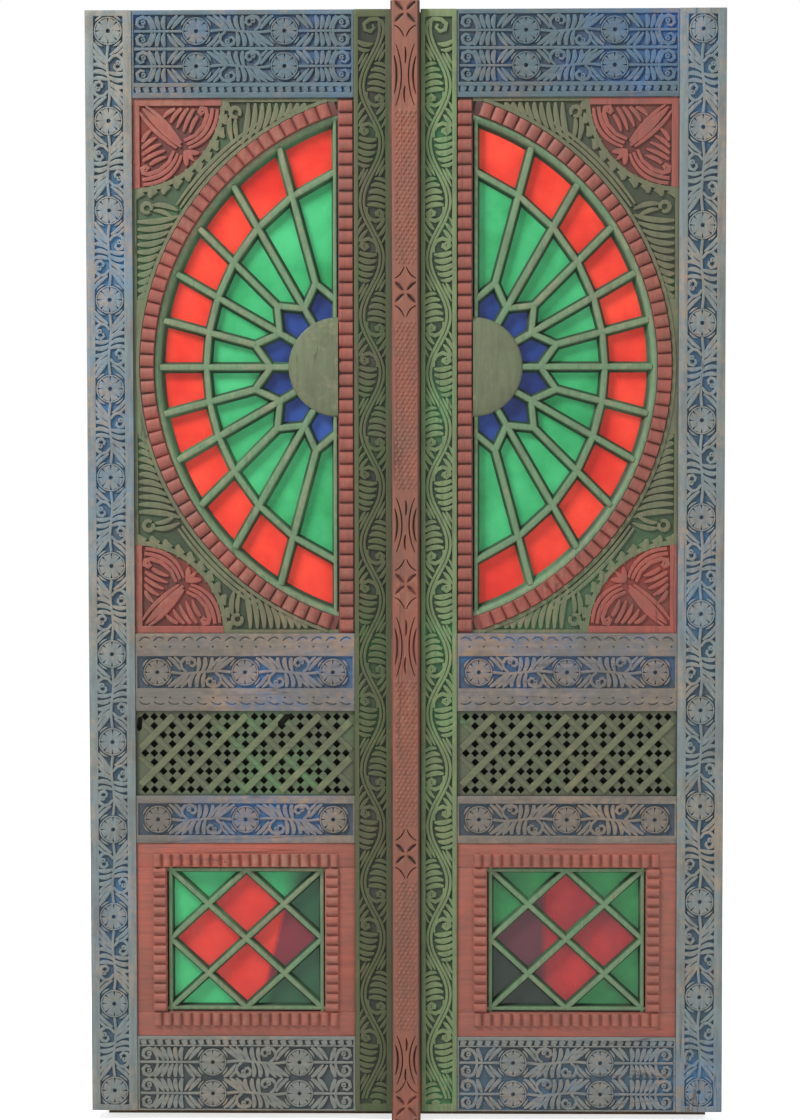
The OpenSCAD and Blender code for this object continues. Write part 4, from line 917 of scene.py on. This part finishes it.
def makeSunBoard(sideName):
    side = sides[sideName]
    place = placing(side)
    body = leafBody[sideName]
    z, half, ground, face = sun["z"], sun["half"], sun["ground"], sun["front"]
    strip, edge = sun["strip"], sun["edge"]
    reach = math.degrees(math.acos((strip + sun["centreIn"]) / sun["ringOut"]))
    outline = [(strip, z + half), (edge, z + half), (edge, z - half), (strip, z - half)]
    outline += [tuple(p) for p in arc(sun["centre"], sun["ringOut"], -reach, reach, 60)]
    bm = bmesh.new()
    addPlate(bm, [(side * x, h) for x, h in outline], ground, sun["back"])
    section = bandSection(ground, face)
    border, centre = sun["border"], sun["centre"]
    for h in (z + half - border, z - half + border):
        addStroke(bm, place, [Vector((strip, h)), Vector((edge, h))], border, section)
    rim = arc(centre, sun["archOut"] + sun["rim"], -sun["rimTo"], sun["rimTo"], 90)
    addStroke(bm, place, rim, sun["rim"], bandSection(ground, face - 1.2))
    upright = [Vector((edge - border, z - half)), Vector((edge - border, z + half))]
    addStroke(bm, place, upright, border, bandSection(ground, face + 0.2))
    plain = [tuple(p) for p in arc(centre, sun["archOut"] + 2, -sun["plainTo"], sun["plainTo"], 12)]
    plain += [(edge - 6.5, plain[-1][1]), (edge - 6.5, plain[0][1])]
    addPlate(bm, [(side * x, h) for x, h in plain], face + 0.4, ground + 1)
    for up in (-1, 1):
        corner = cornerPlace(side, up)
        rim = arc((0, 0), sun["corner"] + 3, 0, 90, 20)
        addStroke(bm, corner, rim, 4.4, bandSection(ground, face + 0.5))
        carveStrokes(bm, corner, spandrelLeaves(), ground, face)
    board = meshObject(sideName + "_sun_board_carved", bm)
    finishPiece(board, body, sunPaint, "green_paint", sideName + "_sun_panel")
    red = bmesh.new()
    for up in (-1, 1):
        corner = cornerPlace(side, up)
        field = [Vector((3, 3))] + arc((0, 0), sun["corner"] - 1.5, 0, 90, 20)
        field[1].y, field[-1].x = 3, 3
        addPlate(red, [corner(p) for p in field], ground - 0.6, ground + 1)
        for a, b, level in (((7, 0), (7, sun["corner"] - 1), 0.3), ((0, 7), (sun["corner"] - 1, 7), 0.45)):
            addStroke(red, corner, [Vector(a), Vector(b)], 6.8, bandSection(ground, face - level))
        carveStrokes(red, corner, cornerMotif(), ground, face - 0.3)
    carving = meshObject(sideName + "_corner_carving", red)
    finishPiece(carving, body, cornerPaint, "red_paint")
    beads = bmesh.new()
    radius = (sun["ringOut"] + sun["archOut"]) / 2
    bed = arc(centre, radius, -sun["beadsTo"], sun["beadsTo"], 90)
    addStroke(beads, place, bed, 13.8, bandSection(ground, face + 0.3))
    step = math.degrees(sun["beadPitch"] / radius)
    for turn in evenly(0, step, int(sun["beadSpan"] / step)):
        a = math.radians(turn)
        x, h = centre[0] + radius * math.cos(a), z + radius * math.sin(a)
        copyBead(beads, archBead, side * x, face, h, a if side > 0 else math.pi - a)
    arch = meshObject(sideName + "_arch_beads", beads)
    finishPiece(arch, body, beadPaint, "red_paint")
    stripLow, stripHigh = box(sideName + "_sun_strip")
    inner = leaf["inner"]
    ends = sorted((side * inner, side * strip))
    low, high = (ends[0], stripLow.y + 6, z - half), (ends[1], stripHigh.y, z + half)
    stripBoard = makeBoard(sideName + "_strip_beads", low, high)
    rows = bmesh.new()
    for h in evenly(z, sun["beadPitch"], int(2 * half / sun["beadPitch"])):
        copyBead(rows, stripBead, side * (inner + strip) / 2, face, h, 0)
    piece = joinInto(stripBoard, meshObject("beads", rows))
    finishPiece(piece, body, beadPaint, "red_paint", sideName + "_sun_strip")


# Tracery: moulded glazing bars over the glass
bars = {"half": 8.5, "upright": 5.5, "front": leaf["front"] + 9, "glass": leaf["front"] + 24, "sash": 7.0}


def barSection(lower=0.0):
    top, glass = bars["front"] + lower, bars["glass"]
    return [(-1.22, glass), (-1.2, glass - 1), (-0.9, glass - 5), (-0.52, top + 0.9), (0, top),
            (0.52, top + 0.9), (0.9, glass - 5), (1.2, glass - 1), (1.22, glass)]


def ringSection():
    top, glass = bars["front"], bars["glass"]
    return [(-1, glass), (-1, top - 1), (-0.5, top - 1), (-0.3, top), (0.9, glass - 3), (1, glass)]


def rayPoint(i, r):
    if abs(i) == sun["rays"]:
        return Vector((sun["strip"] + bars["upright"], math.copysign(r, i)))
    a = math.radians(90 * i / sun["rays"])
    return Vector((sun["strip"] + r * math.cos(a), r * math.sin(a)))


def archPoint(i, r):
    toCentre = sun["strip"] + sun["centreIn"]
    if abs(i) == sun["rays"]:
        x = sun["strip"] + bars["upright"]
        return Vector((x, math.copysign(math.sqrt(r * r - (x + sun["centreIn"]) ** 2), i)))
    a = math.radians(90 * i / sun["rays"])
    reach = math.sqrt(r * r - (toCentre * math.sin(a)) ** 2) - toCentre * math.cos(a)
    return Vector((sun["strip"] + reach * math.cos(a), reach * math.sin(a)))


def starPoint(i):
    return rayPoint(i, sun["tip"] if i % 2 else sun["notch"])


def makeTracery(sideName):
    side = sides[sideName]
    place = placing(side, (0, sun["z"]))
    ringMid = (sun["ringOut"] + sun["ringIn"]) / 2
    last = sun["rays"]
    lines = []
    for i in range(1 - last, last):
        lines.append((archPoint(i, ringMid), starPoint(i) if i % 2 else rayPoint(i, sun["boss"] + 0.2), 0.0))
    for i in range(-last, last):
        lines.append((archPoint(i, sun["middle"]), archPoint(i + 1, sun["middle"]), 0.25 + 0.15 * (i % 2)))
        lines.append((starPoint(i), starPoint(i + 1), 0.5 + 0.15 * (i % 2)))
    bm = bmesh.new()
    for a, b, lower in lines:
        way = (b - a).normalized()
        ends = (a, b) if lower == 0 else (a - way * 2, b + way * 2)  # neighbours meet past their corner
        addStroke(bm, place, [ends[0], ends[1]], bars["half"], barSection(lower))
    for i in (-last, last):
        upright = [rayPoint(i, sun["boss"] + 0.2), archPoint(i, sun["ringOut"] - 1)]
        addStroke(bm, place, upright, bars["upright"], barSection(0.1))
    reach = math.degrees(math.acos((sun["strip"] + sun["centreIn"] + 0.3) / ringMid)) + 1.4
    ring = arc((-sun["centreIn"], 0), ringMid, -reach, reach, 72)
    addStroke(bm, place, ring, ringMid - sun["ringIn"] - 0.1, ringSection())
    tracery = meshObject(sideName + "_sun_bars", bm)
    finishPiece(tracery, leafBody[sideName], barPaint, "sash_paint", sideName + "_sun_tracery")


# Lower window: red members with toothed borders, and a sash with crossed bars
window = {"side": 57.0, "end": 46.0, "teeth": 27.0, "pitch": 18.0, "sash": 11.0, "face": leaf["front"] + 4}


def makeWindow(sideName):
    side = sides[sideName]
    body = leafBody[sideName]
    inner, outer = leaf["inner"], leaf["outer"]
    foot, top = box("right_bottom_rail")[1].z, box("right_window_rail")[0].z
    x0, x1 = inner + window["side"], outer - window["side"]
    z0, z1 = foot + window["end"], top - window["end"]
    back = box(sideName + "_window_head")[1].y
    face, teeth = window["face"], window["teeth"]
    members = {
        "window_head": (inner, outer, z1, top), "window_sill": (inner, outer, foot, z0),
        "window_outer_side": (x1, outer, z0, z1), "window_inner_side": (inner, x0, z0, z1),
    }
    for name, (a, b, c, d) in members.items():
        ends = sorted((side * a, side * b))
        board = makeBoard(f"{sideName}_{name}_toothed", (ends[0], face, c), (ends[1], back, d))
        bm = bmesh.new()
        if name in ("window_head", "window_sill"):
            z = z1 + teeth / 2 if name == "window_head" else z0 - teeth / 2
            length = x1 - x0 + 2 * teeth
            count = int(length / window["pitch"])
            for x in evenly((x0 + x1) / 2, length / count, count):
                copyBead(bm, toothBead, side * x, face, z, math.pi / 2)
        else:
            x = x1 + teeth / 2 if name == "window_outer_side" else x0 - teeth / 2
            count = int((z1 - z0) / window["pitch"])
            for z in evenly((z0 + z1) / 2, (z1 - z0) / count, count):
                copyBead(bm, toothBead, side * x, face, z, 0)
        piece = joinInto(board, meshObject("teeth", bm))
        finishPiece(piece, body, redPaint, "red_paint", f"{sideName}_{name}")
    m = window["sash"] / 2

    def sashPoint(p, q):  # in quarters of the sash
        return Vector((x0 + m + p / 4 * (x1 - x0 - 2 * m), z0 + m + q / 4 * (z1 - z0 - 2 * m)))
    bm = bmesh.new()
    place = placing(side)
    ring = [(0, 0), (4, 0), (4, 4), (0, 4)]
    diamond = [(2, 0), (4, 2), (2, 4), (0, 2)]
    for k in range(4):
        a, b = sashPoint(*ring[k]), sashPoint(*ring[(k + 1) % 4])
        way = (b - a).normalized() * m
        addStroke(bm, place, [a - way, b + way], m, barSection(0.1 * k))
        a, b = sashPoint(*diamond[k]), sashPoint(*diamond[(k + 1) % 4])
        addStroke(bm, place, [a, b], bars["sash"], barSection(0.5 + 0.1 * k))
    for a, b, lower in (((0, 0), (4, 4), 0.2), ((0, 4), (4, 0), 0.35)):
        addStroke(bm, place, [sashPoint(*a), sashPoint(*b)], bars["sash"], barSection(lower))
    sash = meshObject(sideName + "_window_bars", bm)
    finishPiece(sash, body, barPaint, "sash_paint", sideName + "_window_sash")


# Lattice: a board pierced with clusters of diamonds, and raised slats crossing between them
slats = {"columns": 6, "rows": 2, "front": leaf["front"] + 4.2, "board": leaf["front"] + 7, "half": 6.2,
         "under": 4.4, "hole": 7.7, "lower": 1.4, "endIn": 1.45, "least": 12, "runs": (-3, 11),
         # broken out of board and slats: from, to and half width, in x and z
         "breaks": {"left": (((-235, 747), (-221, 762), 6.0), ((-497, 757), (-499, 738), 5.0)), "right": ()}}


def latticeHoles(inner, pitch, middle, half):
    step = pitch / 4
    spots = []
    for j in range(-slats["rows"], slats["rows"] + 1):
        for i in range(slats["columns"]):
            if j % 2 and i == 0:
                continue
            c = Vector((inner + pitch * (i + (0 if j % 2 else 0.5)), middle + 2 * step * j))
            for d in ((0, 0), (step, 0), (-step, 0), (0, step), (0, -step)):
                spot = c + Vector(d)
                if abs(spot.y - middle) < half - slats["hole"] - 1:
                    spots.append(spot)
    return spots


def addBreaks(bm, sideName, front, back):
    for start, end, reach in slats["breaks"][sideName]:
        a, b = Vector(start), Vector(end)
        along = (b - a).normalized() * reach
        across = Vector((-along.y, along.x))
        outline = [a - along, a - across, b - across, b + along, b + across, a + across]
        addPlate(bm, [(p.x, p.y) for p in outline], front, back)


def makeLattice(sideName):
    side = sides[sideName]
    inner, outer = leaf["inner"], leaf["outer"]
    foot, top = box("right_window_rail")[1].z, box("right_frieze_rail")[0].z
    middle, half = (foot + top) / 2, (top - foot) / 2
    left, right = sorted((side * inner, side * outer))
    pitch = (outer - inner) / slats["columns"]
    back = box(sideName + "_lattice")[1].y
    low, high = (left, slats["board"], foot), (right, back, top)
    board = makeBoard(sideName + "_lattice_pierced", low, high)
    bm = bmesh.new()
    reach = slats["hole"]
    for spot in latticeHoles(left, pitch, middle, half):
        outline = [(spot.x + u * reach, spot.y + v * reach) for u, v in ((1, 0), (0, 1), (-1, 0), (0, -1))]
        addPlate(bm, outline, slats["board"] - 1, back + 1)
    addBreaks(bm, sideName, slats["board"] - 1, back + 1)
    cutOut(board, meshObject("diamonds", bm))
    finishPiece(board, leafBody[sideName], latticePaint, "lattice_paint", sideName + "_lattice")
    bm = bmesh.new()
    place = placing(1)
    ways = ((1, slats["half"], slats["front"]), (-1, slats["under"], slats["front"] + slats["lower"]))
    for way, width, front in ways:
        section = bandSection(slats["board"], front)
        for k in range(*slats["runs"]):
            x = left + pitch * k
            run = (max(-half, left - x if way > 0 else x - right),
                   min(half, right - x if way > 0 else x - left))
            lo, hi = run[0] + width * slats["endIn"], run[1] - width * slats["endIn"]
            if hi - lo > slats["least"]:
                a, b = Vector((x + way * lo, middle + lo)), Vector((x + way * hi, middle + hi))
                addStroke(bm, place, [a, b], width, section)
    piece = meshObject(sideName + "_lattice_slats", bm)
    if slats["breaks"][sideName]:
        bm = bmesh.new()
        addBreaks(bm, sideName, slats["front"] - 1, back + 1)
        cutOut(piece, meshObject("breaks", bm))
    finishPiece(piece, leafBody[sideName], slatPaint, "lattice_paint")


# Cover strip: flowers and waisted fields cut with a V chisel, and rows of scales between them
strip = {"half": 27.0, "bevel": 5.0, "relief": 1.6, "cut": 4.2, "scale": 8.6, "scaleRow": 7.4, "plain": 3}
stripFlowers = (9, 520, 1058, 1560, 2034)  # places below the top of the leaves
stripWaists = ((64, 184), (895, 1003), (1115, 1233), (1898, 1997))
stripScales = ((188, 470), (572, 888), (1236, 1512), (1610, 1892))


def flowerCuts(middle):
    cuts = []
    for a in (45, 135, 225, 315):
        way = Vector((math.cos(math.radians(a)), math.sin(math.radians(a))))
        cuts.append(([middle + way * t for t in (4, 9, 15, 21, 27)], (0.8, 5.6, 0.8)))
        x, z = math.copysign(1, way.x), math.copysign(1, way.y)
        path = bend((x * 20, z * 25), (x * 8, z * 29), (x * 2, z * 46))
        cuts.append(([middle + p for p in path], (0.8, 1.6, 0.8)))
    return cuts


def waistCuts(middle, reach):
    cuts = []
    for s in (-1, 1):
        path = bend((s * 17, reach), (s * -4, 0), (s * 17, -reach), 10)
        cuts.append(([middle + p for p in path], (0.8, 1.7, 0.8)))
        path = bend((s * 20, 0.62 * reach), (s * 10, 0), (s * 20, -0.62 * reach), 8)
        cuts.append(([middle + p for p in path], (0.8, 3.2, 0.8)))
        path = bend((0, s * 0.35 * reach), (s * 3, s * 0.6 * reach), (0, s * 0.92 * reach))
        cuts.append(([middle + p for p in path], (0.6, 2.6, 0.6)))
    return cuts


def addScale(bm, x, z, base, rise):
    w, h = strip["scale"] * 0.48, strip["scaleRow"] * 0.52
    rim = [bm.verts.new((x + dx * w, base + 0.3, z + dz * h)) for dx, dz in
           ((-1, 1), (1, 1), (0.8, -0.5), (0, -1.1), (-0.8, -0.5))]
    crest = [bm.verts.new((x + dx * w, rise, z + dz * h)) for dx, dz in ((-0.5, 0.2), (0.5, 0.2), (0, -0.8))]
    for a, b, c in ((0, 1, 1), (2, 3, 2), (3, 4, 0)):
        bm.faces.new((rim[a], rim[b], crest[c], crest[(c + 2) % 3]))
    bm.faces.new((rim[1], rim[2], crest[1]))
    bm.faces.new((rim[4], rim[0], crest[0]))
    bm.faces.new(crest)
    bm.faces.new(rim[::-1])


def makeCoverStrip():
    low, high = box("astragal")
    base = low.y + strip["relief"]
    half, bevel, top = strip["half"], strip["bevel"], leaf["top"]
    profile = [(-half, high.y), (half, high.y), (half, base + bevel), (half - bevel, base),
               (bevel - half, base), (-half, base + bevel)]
    bm = bmesh.new()
    ends = [[bm.verts.new((x, y, z)) for x, y in profile] for z in (low.z, high.z)]
    bm.faces.new(ends[0])
    bm.faces.new(ends[1])
    for k in range(6):
        bm.faces.new((ends[0][k], ends[0][(k + 1) % 6], ends[1][(k + 1) % 6], ends[1][k]))
    board = meshObject("cover_strip_carved", bm)
    cuts = []
    for drop in stripFlowers:
        cuts += flowerCuts(Vector((0, top - drop)))
    for first, last in stripWaists:
        cuts += waistCuts(Vector((0, top - (first + last) / 2)), (last - first) / 2 - 4)
    chiselCuts(board, 1, cuts, base, strip["cut"])
    bm = bmesh.new()
    for first, last in stripScales:
        for row in range(int((last - first) / strip["scaleRow"])):
            z = top - first - (row + 0.5) * strip["scaleRow"]
            for k in range(-2, 3):
                x = (k + (0.5 if row % 2 else 0)) * strip["scale"]
                if abs(x) < half - bevel - strip["plain"]:
                    addScale(bm, x, z, base, low.y + 0.6 * random.random())
    piece = joinInto(board, meshObject("scales", bm))
    finishPiece(piece, "left_leaf", rosePaint, "rose_paint", "astragal")


random.seed(7)
makeCoverStrip()
for sideName in sides:
    makeSunBoard(sideName)
    makeTracery(sideName)
    makeWindow(sideName)
    makeLattice(sideName)
print("sun, windows, lattices and cover strip made")

# Studio: floor, soft light and the camera at the photograph's place
view = {"place": (0.047, -4.0, 1.2116), "pan": -0.842, "tilt": 2.305, "roll": -0.066, "lens": 67.8}


def seenDirectly(tree):
    path = addNode(tree, "ShaderNodeLightPath")
    seen = math2(tree, "MAXIMUM", path.outputs["Is Camera Ray"], path.outputs["Is Glossy Ray"])
    return math2(tree, "MAXIMUM", seen, path.outputs["Is Transmission Ray"])


def makeStudio():
    deselectAll()
    bpy.ops.mesh.primitive_plane_add(size=60, location=(0, 0, 0))
    floor = bpy.context.object
    floor.name = "floor"
    mat, tree, bsdf = newMaterial("pale_floor")
    bsdf.inputs["Base Color"].default_value = (0.86, 0.86, 0.86, 1)
    bsdf.inputs["Roughness"].default_value = 0.9
    bsdf.inputs["Emission Color"].default_value = (1, 1, 1, 1)
    tree.links.new(math2(tree, "MULTIPLY", seenDirectly(tree), 0.7), bsdf.inputs["Emission Strength"])
    floor.data.materials.append(mat)
    world = bpy.data.worlds.new("studio")
    bpy.context.scene.world = world
    world.use_nodes = True
    tree = world.node_tree
    tree.nodes["Background"].inputs["Color"].default_value = (1, 1, 1, 1)
    strength = mapRange(tree, seenDirectly(tree), 0, 1, 0.3, 1.0)
    tree.links.new(strength, tree.nodes["Background"].inputs["Strength"])
    for name, place, size, power in (
        ("key_light", (-2.6, -2.2, 4.4), 1.2, 250),
        ("fill_light", (3.2, -3.2, 1.6), 2.6, 46),
        ("back_light", (0.5, 4.0, 3.6), 2.6, 110),
    ):
        lamp = bpy.data.lights.new(name, "AREA")
        lamp.size = size
        lamp.energy = power
        lampObject = bpy.data.objects.new(name, lamp)
        bpy.context.scene.collection.objects.link(lampObject)
        lampObject.location = place
        aim = Vector((0, 0, 1.05)) - Vector(place)
        lampObject.rotation_euler = aim.to_track_quat("-Z", "Y").to_euler()


def makeCamera():
    data = bpy.data.cameras.new("camera")
    camera = bpy.data.objects.new("camera", data)
    bpy.context.scene.collection.objects.link(camera)
    data.lens = view["lens"]
    data.sensor_width = 36
    camera.location = view["place"]
    turn = Matrix.Rotation(math.radians(-view["pan"]), 4, "Z")
    turn = turn @ Matrix.Rotation(math.radians(90 - view["tilt"]), 4, "X")
    turn = turn @ Matrix.Rotation(math.radians(view["roll"]), 4, "Z")
    camera.rotation_euler = turn.to_euler()
    bpy.context.scene.camera = camera


makeStudio()
makeCamera()
bpy.context.scene.view_settings.view_transform = "Standard"
print("studio set")
